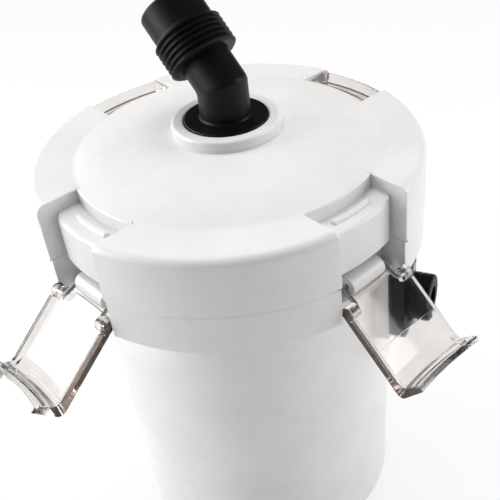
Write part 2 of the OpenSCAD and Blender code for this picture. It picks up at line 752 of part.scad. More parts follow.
module sponge_coarse() color([0.2, 0.3, 0.5]) sponge(0, basket_h - 10);
module sponge_medium() color([0.15, 0.15, 0.17]) sponge(1, basket_h - 10);
module sponge_fine() color([0.95, 0.95, 0.92]) sponge(2, basket_h - 18);

canister();
foot_ring();
inlet_gasket();
inlet_housing();
inlet_screws();
inlet_nut();
down_pipe();
basket(0);  // basket_lower
basket(1);  // basket_middle
basket(2);  // basket_upper
sponge_coarse();
sponge_medium();
sponge_fine();
lid_cover();
pump_base();
lid_seal();
lid_screws();
stator_core();
stator_coils();
impeller_cover();
impeller_shaft();
shaft_bushings();
impeller();
rotor_magnet();
cable_gland();
outlet_ring();
outlet_elbow();
elbow_seal();
outlet_nut();
latch_bail(LATCH_AZ[0]);  // bail_front_left
latch_bail(LATCH_AZ[1]);  // bail_front_right
latch_bail(LATCH_AZ[2]);  // bail_rear_right
latch_bail(LATCH_AZ[3]);  // bail_rear_left
latch_clip(LATCH_AZ[0], open_ang);  // clip_front_left
latch_clip(LATCH_AZ[1], open_ang);  // clip_front_right
latch_clip(LATCH_AZ[2], shut_ang);  // clip_rear_right
latch_clip(LATCH_AZ[3], shut_ang);  // clip_rear_left
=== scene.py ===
"""Looks of a canister filter for an aquarium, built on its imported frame.

The white mouldings are turned and then cut, the latches are clear clips on wire bails, and the
filter media are foam pads. Sizes are in millimetres and become metres where a mesh is made.
"""

import logging
import math
from dataclasses import dataclass, field, replace
from enum import Enum
from typing import Any, Callable, Iterable, Sequence

import bpy
from mathutils import Matrix, Vector

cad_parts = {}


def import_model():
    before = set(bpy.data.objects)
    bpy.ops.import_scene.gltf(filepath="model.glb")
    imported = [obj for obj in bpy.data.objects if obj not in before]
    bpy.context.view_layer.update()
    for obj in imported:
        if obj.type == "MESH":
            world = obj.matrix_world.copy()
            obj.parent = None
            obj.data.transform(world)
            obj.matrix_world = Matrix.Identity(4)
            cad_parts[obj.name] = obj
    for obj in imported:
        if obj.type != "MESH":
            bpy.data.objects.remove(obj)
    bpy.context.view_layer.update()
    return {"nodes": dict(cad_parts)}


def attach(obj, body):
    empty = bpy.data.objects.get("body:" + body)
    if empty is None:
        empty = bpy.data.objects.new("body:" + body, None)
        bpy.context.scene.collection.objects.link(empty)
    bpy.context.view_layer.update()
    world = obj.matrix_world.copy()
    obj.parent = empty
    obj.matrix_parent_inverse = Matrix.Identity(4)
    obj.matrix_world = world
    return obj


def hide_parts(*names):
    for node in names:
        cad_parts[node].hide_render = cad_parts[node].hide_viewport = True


MM = 0.001
SHARP = 38.0
LOG = logging.getLogger("canister_filter")

Point = tuple[float, float]
Place = tuple[float, float, float]


class Mix(Enum):
    """How a tool changes a piece."""

    CUT = "DIFFERENCE"
    ADD = "UNION"


class Corner(Enum):
    """Directions of the four latches, from the front towards the right, in degrees."""

    FRONT_LEFT = -45.0
    FRONT_RIGHT = 45.0
    REAR_RIGHT = 135.0
    REAR_LEFT = 225.0

    @property
    def label(self) -> str:
        """The corner's name as the frame writes it."""
        return self.name.lower()

    @property
    def open(self) -> bool:
        """Whether the latch hangs open."""
        return self in (Corner.FRONT_LEFT, Corner.FRONT_RIGHT)


# --- Modelling steps ---


def metres(place: Iterable[float]) -> Vector:
    """Turns a place in millimetres into metres."""
    return Vector([v * MM for v in place])


def toward(azimuth: float) -> Matrix:
    """Gives the turn that takes +X to a direction counted from the front to the right.

    Args:
        azimuth: The direction in degrees.

    Returns:
        The turn about the upright axis.
    """
    return turn(azimuth - 90, "Z")


def shift(x: float = 0.0, y: float = 0.0, z: float = 0.0) -> Matrix:
    """Gives a move by millimetres along the three axes."""
    return Matrix.Translation(metres((x, y, z)))


def turn(degrees: float, axis: str) -> Matrix:
    """Gives a turn by degrees about one axis."""
    return Matrix.Rotation(math.radians(degrees), 4, axis)


def arc(centre: Point, radius: float, start: float, end: float, steps: int = 6) -> list[Point]:
    """Lists points on an arc.

    Args:
        centre: The arc's centre.
        radius: Its radius.
        start: The angle of its first point, in degrees.
        end: The angle of its last point.
        steps: How many chords it has.

    Returns:
        The points, both ends among them.
    """
    angles = [math.radians(start + (end - start) * i / steps) for i in range(steps + 1)]
    return [(centre[0] + radius * math.cos(a), centre[1] + radius * math.sin(a)) for a in angles]


class Bench:
    """The steps that a modeller does by hand, each on one piece."""

    @staticmethod
    def clear() -> None:
        """Leaves edit mode and selects nothing."""
        if bpy.context.mode != "OBJECT":
            bpy.ops.object.mode_set(mode="OBJECT")
        bpy.ops.object.select_all(action="DESELECT")

    @staticmethod
    def pick(piece: Any) -> None:
        """Selects one piece alone and makes it active."""
        Bench.clear()
        piece.select_set(True)
        bpy.context.view_layer.objects.active = piece

    @staticmethod
    def edit(piece: Any) -> None:
        """Opens a piece in edit mode with all of it selected."""
        Bench.pick(piece)
        bpy.ops.object.mode_set(mode="EDIT")
        bpy.ops.mesh.select_all(action="SELECT")

    @staticmethod
    def settle(name: str) -> Any:
        """Names the new active object and puts its place into its mesh."""
        piece = bpy.context.object
        piece.name = name
        Bench.pick(piece)
        bpy.ops.object.transform_apply(location=True, rotation=True, scale=True)
        return piece

    @staticmethod
    def turned(name: str, profile: Sequence[Point], columns: int = 192, looped: bool = True) -> Any:
        """Turns a profile about the upright axis, ring by ring.

        Args:
            name: The piece's name.
            profile: Radius and height of each ring.
            columns: How many columns the piece has round the axis.
            looped: Whether the last ring runs back to the first, or both ends are capped.

        Returns:
            The closed piece.
        """
        Bench.clear()
        radius, height = profile[0]
        bpy.ops.mesh.primitive_circle_add(
            vertices=columns, radius=radius * MM, location=(0, 0, height * MM)
        )
        piece = Bench.settle(name)
        Bench.edit(piece)
        rings = list(profile[1:]) + ([profile[0]] if looped else [])
        for next_radius, next_height in rings:
            bpy.ops.mesh.extrude_region_move()
            grow = next_radius / radius
            bpy.ops.transform.resize(value=(grow, grow, 1), center_override=(0, 0, height * MM))
            bpy.ops.transform.translate(value=(0, 0, (next_height - height) * MM))
            radius, height = next_radius, next_height
        bpy.ops.mesh.select_all(action="SELECT")
        if looped:
            bpy.ops.mesh.remove_doubles(threshold=0.005 * MM)
        else:
            bpy.ops.mesh.fill_holes(sides=0)
        bpy.ops.mesh.normals_make_consistent(inside=False)
        Bench.clear()
        return piece

    @staticmethod
    def rod(name: str, radius: float, low: float, high: float, columns: int) -> Any:
        """Makes a round bar on the upright axis, capped at both ends."""
        return Bench.turned(name, [(radius, low), (radius, high)], columns, looped=False)

    @staticmethod
    def block(name: str, low: Place, high: Place) -> Any:
        """Makes a plain block between two corners, for cutting or joining."""
        Bench.clear()
        centre = [(a + b) / 2 * MM for a, b in zip(low, high)]
        bpy.ops.mesh.primitive_cube_add(size=1, location=centre)
        bpy.context.object.scale = [(b - a) * MM for a, b in zip(low, high)]
        return Bench.settle(name)

    @staticmethod
    def move(piece: Any, place: Matrix) -> Any:
        """Moves a piece's mesh, with the place in metres."""
        Bench.pick(piece)
        piece.matrix_world = place @ piece.matrix_world
        bpy.ops.object.transform_apply(location=True, rotation=True, scale=True)
        return piece

    @staticmethod
    def copy(piece: Any, name: str, place: Matrix) -> Any:
        """Copies a piece with its own mesh to another place."""
        Bench.pick(piece)
        bpy.ops.object.duplicate(linked=False)
        twin = bpy.context.object
        twin.name = name
        return Bench.move(twin, place)

    @staticmethod
    def ring_of(piece: Any, azimuths: Iterable[float]) -> Any:
        """Copies a piece drawn along +X to several directions, as one object without the first."""
        twins = [Bench.copy(piece, piece.name + "_copy", toward(a)) for a in azimuths]
        bpy.data.objects.remove(piece)
        return Bench.together(twins)

    @staticmethod
    def together(pieces: Sequence[Any]) -> Any:
        """Joins objects into the first of them, without merging their walls."""
        Bench.clear()
        for piece in pieces:
            piece.select_set(True)
        bpy.context.view_layer.objects.active = pieces[0]
        bpy.ops.object.join()
        return pieces[0]

    @staticmethod
    def slice(piece: Any, point: Place, normal: Place) -> Any:
        """Takes off what lies beyond a plane, on the side of its normal, and closes the cut."""
        Bench.edit(piece)
        bpy.ops.mesh.bisect(
            plane_co=metres(point), plane_no=normal, use_fill=True, clear_outer=True
        )
        bpy.ops.mesh.select_all(action="SELECT")
        bpy.ops.mesh.normals_make_consistent(inside=False)
        Bench.clear()
        return piece

    @staticmethod
    def between(piece: Any, one: float, other: float) -> Any:
        """Keeps what lies on the side of +X, from one plane across Y to another."""
        out = math.copysign(1, other - one)
        Bench.slice(piece, (40, 0, 0), (-1, 0, 0))
        Bench.slice(piece, (0, one, 0), (0, -out, 0))
        return Bench.slice(piece, (0, other, 0), (0, out, 0))

    @staticmethod
    def apply(piece: Any, kind: str, **settings: Any) -> Any:
        """Adds a modifier with its settings and applies it."""
        modifier = piece.modifiers.new(kind.title(), kind)
        for key, value in settings.items():
            setattr(modifier, key, value)
        Bench.pick(piece)
        bpy.ops.object.modifier_apply(modifier=modifier.name)
        return piece

    @staticmethod
    def combine(piece: Any, tool: Any, how: Mix) -> Any:
        """Cuts a tool out of a piece or adds it, and removes the tool."""
        Bench.apply(piece, "BOOLEAN", object=tool, operation=how.value, solver="EXACT")
        bpy.data.objects.remove(tool)
        return piece

    @staticmethod
    def bevel(piece: Any, width: float, segments: int, chosen: Callable[[Any], bool]) -> Any:
        """Rounds the edges that pass a test.

        Args:
            piece: The piece.
            width: The rounding's width.
            segments: How many facets the rounding has.
            chosen: Tells whether an edge of the mesh is rounded.

        Returns:
            The same piece.
        """
        Bench.edit(piece)
        bpy.ops.mesh.select_mode(type="EDGE")
        bpy.ops.mesh.select_all(action="DESELECT")
        bpy.ops.object.mode_set(mode="OBJECT")
        for edge in piece.data.edges:
            edge.select = chosen(edge)
        bpy.ops.object.mode_set(mode="EDIT")
        bpy.ops.mesh.bevel(
            offset=width * MM, segments=segments, affect="EDGES", clamp_overlap=False
        )
        bpy.ops.mesh.select_mode(type="VERT")
        Bench.clear()
        return piece

    @staticmethod
    def round_edges(
        piece: Any, width: float, segments: int, chosen: Callable[[Vector, Vector], bool]
    ) -> Any:
        """Rounds the edges whose two ends, in millimetres, pass a test."""
        points = [vertex.co / MM for vertex in piece.data.vertices]
        return Bench.bevel(
            piece, width, segments, lambda edge: chosen(*(points[v] for v in edge.vertices))
        )

    @staticmethod
    def ridges(piece: Any, angle: float) -> set[int]:
        """Finds the edges where two faces meet in a ridge sharper than an angle in degrees."""
        mesh, least = piece.data, math.cos(math.radians(angle))
        sides: dict[tuple[int, int], list[Any]] = {}
        for face in mesh.polygons:
            for key in face.edge_keys:
                sides.setdefault(key, []).append(face)
        found = set()
        for edge in mesh.edges:
            faces = sides.get(edge.key, [])
            if len(faces) != 2 or faces[0].normal.dot(faces[1].normal) > least:
                continue
            if (faces[1].center - faces[0].center).dot(faces[0].normal) < 0:
                found.add(edge.index)
        return found

    @staticmethod
    def soften(piece: Any, width: float, segments: int = 2, merge: float = 0.2) -> Any:
        """Rounds every sharp ridge of a piece.

        Args:
            piece: The piece.
            width: The rounding's width.
            segments: How many facets the rounding has.
            merge: Points nearer than this are merged first.

        Returns:
            The same piece.
        """
        Bench.edit(piece)
        bpy.ops.mesh.remove_doubles(threshold=merge * MM)
        bpy.ops.mesh.dissolve_degenerate(threshold=0.02 * MM)
        Bench.clear()
        found = Bench.ridges(piece, SHARP)
        return Bench.bevel(piece, width, segments, lambda edge: edge.index in found)

    @staticmethod
    def smooth(piece: Any, angle: float = SHARP) -> Any:
        """Shades a piece smooth up to an angle, with its large faces kept flat."""
        Bench.pick(piece)
        bpy.ops.object.shade_smooth_by_angle(angle=math.radians(angle))
        return Bench.apply(piece, "WEIGHTED_NORMAL", keep_sharp=True, weight=50)


# --- Finishes ---


class Tree:
    """A node tree that is written from left to right."""

    def __init__(self, tree: Any) -> None:
        """Keeps the tree and empties it."""
        self.tree = tree
        self.tree.nodes.clear()

    def feed(self, socket: Any, value: Any) -> None:
        """Links a socket to another socket, or sets it to a plain value."""
        if isinstance(value, bpy.types.NodeSocket):
            self.tree.links.new(value, socket)
        else:
            socket.default_value = value

    def place(self) -> Any:
        """Gives the object's own coordinates."""
        return self.add("ShaderNodeTexCoord").outputs["Object"]

    def add(self, kind: str, **inputs: Any) -> Any:
        """Adds a node.

        Args:
            kind: The node's type.
            **inputs: Sockets to link or set, by name, and properties in lower case.

        Returns:
            The node.
        """
        node = self.tree.nodes.new(kind)
        for key, value in inputs.items():
            if key[0].islower():
                setattr(node, key, value)
        for key, value in inputs.items():
            if key[0].islower():
                continue
            name = key.replace("_", " ")
            usable = [s for s in node.inputs if s.name == name and s.enabled]
            self.feed(usable[0] if usable else node.inputs[name], value)
        return node

    def noise(self, where: Any, scale: Any, detail: float = 3.0, roughness: float = 0.55) -> Any:
        """Adds a noise texture and gives its value socket."""
        node = self.add("ShaderNodeTexNoise", Vector=where, Scale=scale, Detail=detail)
        node.inputs["Roughness"].default_value = roughness
        return node.outputs["Fac"]

    def ramp(
        self, value: Any, low: float, high: float, to_low: float = 0.0, to_high: float = 1.0
    ) -> Any:
        """Maps a value from one range to another, clamped."""
        node = self.add("ShaderNodeMapRange", Value=value)
        names = ("From Min", "From Max", "To Min", "To Max")
        for name, number in zip(names, (low, high, to_low, to_high)):
            node.inputs[name].default_value = number
        return node.outputs["Result"]

    def maths(self, operation: str, first: Any, second: Any) -> Any:
        """Adds one step of arithmetic and gives its value socket."""
        node = self.add("ShaderNodeMath", operation=operation)
        for socket, value in zip(node.inputs, (first, second)):
            self.feed(socket, value)
        return node.outputs[0]

    def blend(self, share: Any, first: Any, second: Any) -> Any:
        """Mixes two colours and gives the result."""
        node = self.add("ShaderNodeMix", data_type="RGBA")
        for index, value in ((0, share), (6, first), (7, second)):
            self.feed(node.inputs[index], value)
        return node.outputs[2]


def colour(red: float, green: float, blue: float) -> tuple[float, float, float, float]:
    """Gives a linear colour from values of 0 to 255 as they look on a screen."""

    def linear(value: float) -> float:
        """Undoes the screen's curve."""
        v = value / 255
        return v / 12.92 if v <= 0.04045 else ((v + 0.055) / 1.055) ** 2.4

    return (linear(red), linear(green), linear(blue), 1.0)


Colour = tuple[float, float, float, float]


def moulded_skin() -> Any:
    """Builds the group for moulded plastic and rubber: blotches, handling marks and a fine grain.

    Returns:
        The node group, made once.
    """
    name = "moulded_skin"
    if name in bpy.data.node_groups:
        return bpy.data.node_groups[name]
    group = bpy.data.node_groups.new(name, "ShaderNodeTree")
    face = group.interface
    for title in ("Colour", "Shade"):
        face.new_socket(title, in_out="INPUT", socket_type="NodeSocketColor")
    for title in ("Blotch Scale", "Grain Scale", "Roughness", "Spread", "Marks"):
        face.new_socket(title, in_out="INPUT", socket_type="NodeSocketFloat")
    face.new_socket("Colour", in_out="OUTPUT", socket_type="NodeSocketColor")
    for title in ("Roughness", "Height"):
        face.new_socket(title, in_out="OUTPUT", socket_type="NodeSocketFloat")
    tree = Tree(group)
    into = tree.add("NodeGroupInput").outputs
    where = tree.place()
    blotch = tree.ramp(tree.noise(where, into["Blotch Scale"], 4.0), 0.32, 0.68)
    finer = tree.noise(where, tree.maths("MULTIPLY", into["Blotch Scale"], 7.0), 5.0)
    grain = tree.noise(where, into["Grain Scale"], 2.0)
    drawn = tree.add("ShaderNodeMapping", Vector=where)
    drawn.inputs["Scale"].default_value = (1.0, 0.16, 1.0)
    drawn.inputs["Rotation"].default_value = (0.3, 0.2, 0.7)
    fine = tree.maths("MULTIPLY", into["Blotch Scale"], 30.0)
    streak = tree.noise(drawn.outputs["Vector"], fine, 4.0, 0.7)
    marks = tree.maths("MULTIPLY", tree.ramp(streak, 0.62, 0.74), into["Marks"])
    shaded = tree.maths("MULTIPLY", blotch, tree.ramp(finer, 0.3, 0.7, 0.55, 1.0))
    mixed = tree.blend(shaded, into["Colour"], into["Shade"])
    uneven = tree.maths("MULTIPLY", tree.maths("SUBTRACT", finer, 0.5), into["Spread"])
    rough = tree.maths("ADD", into["Roughness"], uneven)
    rough = tree.maths("ADD", rough, tree.maths("MULTIPLY", marks, 0.25))
    height = tree.maths("SUBTRACT", grain, tree.maths("MULTIPLY", marks, 0.6))
    out = tree.add("NodeGroupOutput")
    for title, socket in (("Colour", mixed), ("Roughness", rough), ("Height", height)):
        tree.feed(out.inputs[title], socket)
    return group


@dataclass(frozen=True)
class Finish:
    """A moulded plastic or rubber finish, and the base of the others."""

    name: str
    base: Colour
    shade: Colour
    roughness: float = 0.35
    spread: float = 0.12
    marks: float = 0.1
    blotch: float = 28.0
    grain: float = 2600.0
    depth: float = 0.02
    metal: float = 0.0
    ior: float = 1.5
    coat: float = 0.0
    specular: float = 0.5

    def make(self) -> Any:
        """Builds the material, or gives it if it is there."""
        name = self.name + "_finish"
        if name in bpy.data.materials:
            return bpy.data.materials[name]
        material = bpy.data.materials.new(name)
        material.use_nodes = True
        material.diffuse_color = self.base
        tree = Tree(material.node_tree)
        shader = tree.add("ShaderNodeBsdfPrincipled", Metallic=self.metal, IOR=self.ior)
        shader.inputs["Specular IOR Level"].default_value = self.specular
        shader.inputs["Coat Weight"].default_value = self.coat
        shader.inputs["Coat Roughness"].default_value = 0.12
        self.dress(tree, shader)
        out = tree.add("ShaderNodeOutputMaterial")
        tree.feed(out.inputs["Surface"], self.surface(tree, shader))
        return material

    def surface(self, tree: Tree, shader: Any) -> Any:
        """Gives the socket that the output takes."""
        return shader.outputs["BSDF"]

    def skin(self, tree: Tree) -> Any:
        """Places the shared group with this finish's values and gives its outputs."""
        node = tree.add("ShaderNodeGroup")
        node.node_tree = moulded_skin()
        values = {
            "Colour": self.base, "Shade": self.shade, "Blotch Scale": self.blotch,
            "Grain Scale": self.grain, "Roughness": self.roughness, "Spread": self.spread,
            "Marks": self.marks,
        }
        for title, value in values.items():
            node.inputs[title].default_value = value
        return node.outputs

    def coat_with(self, tree: Tree, shader: Any, paint: Any, rough: Any, height: Any) -> None:
        """Feeds colour, roughness and relief to the shader.

        Args:
            tree: The material's tree.
            shader: The Principled node.
            paint: The colour's socket.
            rough: The roughness's socket.
            height: The relief's socket, whose full depth is the finish's own.
        """
        bump = tree.add("ShaderNodeBump", Height=height, Strength=1.0, Distance=self.depth * MM)
        coat = {"Base Color": paint, "Roughness": rough, "Normal": bump.outputs["Normal"]}
        for name, value in coat.items():
            tree.feed(shader.inputs[name], value)

    def dress(self, tree: Tree, shader: Any) -> None:
        """Links colour, roughness and grain to the shader."""
        out = self.skin(tree)
        self.coat_with(tree, shader, out["Colour"], out["Roughness"], out["Height"])


@dataclass(frozen=True)
class ClearFinish(Finish):
    """Clear moulded plastic with a faint tint, and painted shade on its flanges and where it is
    seen edge on.
    """

    # Painted shade: this dark colour is painted on the flanges' outer faces, and at a third of its
    # strength where the plastic is seen edge on.
    painted_edge_shade: Colour = (0.2, 0.2, 0.2, 1.0)
    painted_edge_from: float = 18.9
    passes: Colour = (0.82, 0.81, 0.8, 1.0)

    def surface(self, tree: Tree, shader: Any) -> Any:
        """Lets the lamps' light through to what lies under the piece."""
        mixed = tree.add("ShaderNodeMixShader")
        clear = tree.add("ShaderNodeBsdfTransparent", Color=self.passes)
        shadow = tree.add("ShaderNodeLightPath").outputs["Is Shadow Ray"]
        sources = (shadow, shader.outputs["BSDF"], clear.outputs["BSDF"])
        for socket, source in zip(mixed.inputs, sources):
            tree.feed(socket, source)
        return mixed.outputs["Shader"]

    def painted_edge_mask(self, tree: Tree) -> Any:
        """Gives the mask of the painted shade: 1 on the flanges' outer faces, as seen from outside
        the piece.
        """
        axes = tree.add("ShaderNodeSeparateXYZ", Vector=tree.place()).outputs
        across = [tree.maths(step, axes["X"], axes["Y"]) for step in ("ADD", "SUBTRACT")]
        sides = [tree.maths("ABSOLUTE", value, 0.0) for value in across]
        off = tree.maths("MULTIPLY", tree.maths("MINIMUM", *sides), math.sqrt(0.5) / MM)
        inside = tree.add("ShaderNodeNewGeometry").outputs["Backfacing"]
        outside = tree.maths("SUBTRACT", 1.0, inside)
        return tree.maths("MULTIPLY", tree.ramp(off, self.painted_edge_from, self.painted_edge_from + 0.2), outside)

    def dress(self, tree: Tree, shader: Any) -> None:
        """Lets light through, and paints shade on the flanges and on what is seen edge on."""
        shader.inputs["Transmission Weight"].default_value = 1.0
        out = self.skin(tree)
        facing = tree.add("ShaderNodeLayerWeight", Blend=0.5).outputs["Facing"]
        # Painted shade: the colour darkens where the surface is seen edge on.
        edge_on_shade = tree.ramp(facing, 0.6, 0.95, 0.0, 0.3)
        plain = tree.blend(edge_on_shade, out["Colour"], tuple(v * 0.35 for v in self.painted_edge_shade[:3]) + (1.0,))
        # Painted shade on the flanges' outer faces, laid over the rest.
        painted_shade_colour = tree.blend(self.painted_edge_mask(tree), plain, self.painted_edge_shade)
        self.coat_with(tree, shader, painted_shade_colour, out["Roughness"], out["Height"])


@dataclass(frozen=True)
class DrawnFinish(Finish):
    """Drawn wire or turned steel with fine lines along one axis."""

    stretch: Place = (1.0, 1.0, 0.05)

    def dress(self, tree: Tree, shader: Any) -> None:
        """Adds the drawing lines to the skin."""
        out = self.skin(tree)
        lines = tree.add("ShaderNodeMapping", Vector=tree.place())
        lines.inputs["Scale"].default_value = self.stretch
        drawn = tree.noise(lines.outputs["Vector"], self.grain, 3.0)
        rough = tree.maths("ADD", out["Roughness"], tree.ramp(drawn, 0.3, 0.7, -0.06, 0.08))
        self.coat_with(tree, shader, out["Colour"], rough, drawn)


@dataclass(frozen=True)
class FoamFinish(Finish):
    """Open foam or filter wool, with pores of one size."""

    pores: float = 500.0

    def dress(self, tree: Tree, shader: Any) -> None:
        """Paints shade into the pores and sinks them."""
        out = self.skin(tree)
        holes = tree.add("ShaderNodeTexVoronoi", Vector=tree.place(), Scale=self.pores)
        cells = holes.outputs["Distance"]
        pore = tree.ramp(cells, 0.25, 0.75)
        # Painted shade: the pores are darkened towards a deep tone of the foam, for the shade in
        # the holes.
        pore_shade_colour = tree.blend(pore, out["Colour"], tuple(v * 0.28 for v in self.shade[:3]) + (1.0,))
        self.coat_with(tree, shader, pore_shade_colour, out["Roughness"], tree.maths("SUBTRACT", 1.0, pore))


@dataclass(frozen=True)
class BandedFinish(Finish):
    """Windings or laminations: even bands along one axis."""

    bands: float = 400.0
    axis: str = "Z"

    def dress(self, tree: Tree, shader: Any) -> None:
        """Adds the bands to colour and height."""
        out = self.skin(tree)
        wave = tree.add("ShaderNodeTexWave", Vector=tree.place(), Scale=self.bands, Distortion=0.4,
                        bands_direction=self.axis)
        line = wave.outputs["Fac"]
        mixed = tree.blend(tree.ramp(line, 0.0, 0.35, 1.0, 0.0), out["Colour"], self.shade)
        self.coat_with(tree, shader, mixed, out["Roughness"], line)


class Finishes(Enum):
    """Every finish on the filter, by the frame's slot."""

    WHITE_SHELL = Finish(
        "white_moulding", colour(234, 233, 232), colour(224, 223, 222), 0.3, 0.1, 0.12
    )
    BLACK_FITTING = Finish(
        "black_fitting", colour(13, 14, 17), colour(8, 9, 11), 0.42, 0.16, 0.3,
        grain=1500.0, depth=0.025, specular=0.16,
    )
    # Clear clips; the brown-grey colour given for their flanges and edges is painted shade.
    CLEAR_CLIP = ClearFinish(
        "clear_clip", colour(240, 236, 233), colour(226, 222, 219), 0.1, 0.3, 0.6, blotch=60.0,
        grain=140.0, depth=0.006, ior=1.36, painted_edge_shade=colour(66, 54, 48),
    )
    BAIL_WIRE = DrawnFinish(
        "bail_wire", colour(176, 176, 176), colour(140, 141, 143), 0.32, 0.08, grain=1800.0,
        depth=0.012, metal=1.0, stretch=(1.0, 0.06, 1.0),
    )
    SCREW_STEEL = DrawnFinish(
        "screw_steel", colour(186, 186, 184), colour(150, 150, 150), 0.3, 0.1,
        grain=1800.0, depth=0.01, metal=1.0,
    )
    BLACK_RUBBER = Finish(
        "black_rubber", colour(38, 38, 39), colour(26, 26, 28), 0.7, 0.15, 0.2,
        grain=1200.0, depth=0.05,
    )
    DARK_PLASTIC = Finish(
        "dark_plastic", colour(58, 60, 64), colour(44, 46, 50), 0.45, 0.15, 0.15, depth=0.03
    )
    COARSE_FOAM = FoamFinish(
        "coarse_foam", colour(52, 86, 140), colour(36, 62, 110), 0.95, 0.05, 0.0,
        depth=0.9, pores=420.0,
    )
    MEDIUM_FOAM = FoamFinish(
        "medium_foam", colour(56, 57, 60), colour(38, 39, 42), 0.95, 0.05, 0.0,
        depth=0.6, pores=700.0,
    )
    FINE_FOAM = FoamFinish(
        "fine_foam", colour(236, 236, 230), colour(218, 217, 208), 0.95, 0.05, 0.0,
        depth=0.4, pores=1100.0,
    )
    CORE_STEEL = BandedFinish(
        "core_steel", colour(124, 125, 128), colour(84, 84, 88), 0.45, 0.1,
        depth=0.06, metal=1.0, bands=420.0,
    )
    COIL_COPPER = BandedFinish(
        "coil_copper", colour(176, 96, 52), colour(104, 50, 26), 0.32, 0.1,
        depth=0.15, metal=1.0, bands=320.0, axis="Y",
    )
    CERAMIC_SHAFT = Finish(
        "ceramic_shaft", colour(236, 234, 226), colour(226, 223, 212), 0.12, 0.05, 0.0, coat=0.3
    )
    IMPELLER_PLASTIC = Finish(
        "impeller_plastic", colour(206, 207, 205), colour(190, 191, 189), 0.35, 0.1, 0.1
    )
    FERRITE = Finish("ferrite", colour(66, 66, 70), colour(48, 48, 52), 0.55, 0.15, 0.1, depth=0.04)

    @property
    def slot(self) -> str:
        """The frame's name for the slot."""
        return self.name.lower()


# --- Sizes that several pieces share ---


@dataclass(frozen=True)
class Latch:
    """Where the latches sit, in the plane of distance from the axis and height."""

    joint_z: float = 190.0
    block_r: float = 89.0
    half: float = 19.8
    face_r: float = 82.0
    pivot_a: Point = (79.2, 180.8)
    reach: float = 9.84
    bail_angle: float = -27.9
    clip_half: float = 19.2
    clip_length: float = 40.0
    back: float = -5.4
    thickness: float = 2.2
    open_angle: float = -41.5
    wire_hole: float = 1.06
    gland_up: float = 10.0

    @property
    def pivot_b(self) -> Point:
        """The clip's pivot at the bail's far end."""
        a = math.radians(self.bail_angle)
        u, z = self.pivot_a
        return (u + self.reach * math.cos(a), z + self.reach * math.sin(a))

    @property
    def shut_angle(self) -> float:
        """The clip's angle when it is shut, in degrees."""
        step = self.pivot_b[0] - self.back - (self.block_r - 2.4)
        return 90 + math.degrees(math.asin(step / self.clip_length))

    @property
    def heel(self) -> float:
        """How far the plate runs on behind the pivot."""
        a = math.radians(-self.open_angle)
        return (self.pivot_b[0] - self.face_r - 0.05 + self.back * math.sin(a)) / math.cos(a)

    def shut(self, point: Point) -> Point:
        """Gives where a point of the clip's outline lies once the clip is shut."""
        a = math.radians(self.shut_angle)
        return (
            self.pivot_b[0] + point[0] * math.cos(a) - point[1] * math.sin(a),
            self.pivot_b[1] + point[0] * math.sin(a) + point[1] * math.cos(a),
        )

    @property
    def bead(self) -> Point:
        """The middle of the bead that the lip snaps over."""
        groove = self.shut((self.clip_length - 2.0, 6.85))
        return (groove[0], groove[1] - 2.0)


@dataclass(frozen=True)
class Port:
    """Where the inlet sits on the canister, and the sizes of its plate."""

    azimuth: float = 69.0
    height: float = 147.0
    half_width: float = 12.0
    half_height: float = 21.0
    screw_off: float = 15.5


LATCH = Latch()
PORT = Port()
CORNERS = tuple(c.value for c in Corner)


@dataclass
class Assembly:
    """Base of the sub-assemblies: reports and dresses their pieces."""

    made: list[str] = field(default_factory=list)

    def deliver(
        self,
        piece: Any,
        body: str,
        nodes: Sequence[str],
        finish: Finishes,
        other: Finish | None = None,
    ) -> Any:
        """Gives a finished piece its material and body, and hides the frame's nodes that it stands
        for.

        Args:
            piece: The piece.
            body: The body that it rides on.
            nodes: The frame's nodes that it replaces.
            finish: Its finish.
            other: A variant of the finish, if the piece has one.

        Returns:
            The same piece.
        """
        piece.data.materials.clear()
        piece.data.materials.append((other or finish.value).make())
        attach(piece, body)
        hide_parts(*nodes)
        self.made.append(piece.name)
        LOG.info("%s: %d faces, rides on %s", piece.name, len(piece.data.polygons), body)
        return piece

    def build(self) -> None:
        """Builds the sub-assembly's pieces."""
        raise NotImplementedError


# --- Canister ---


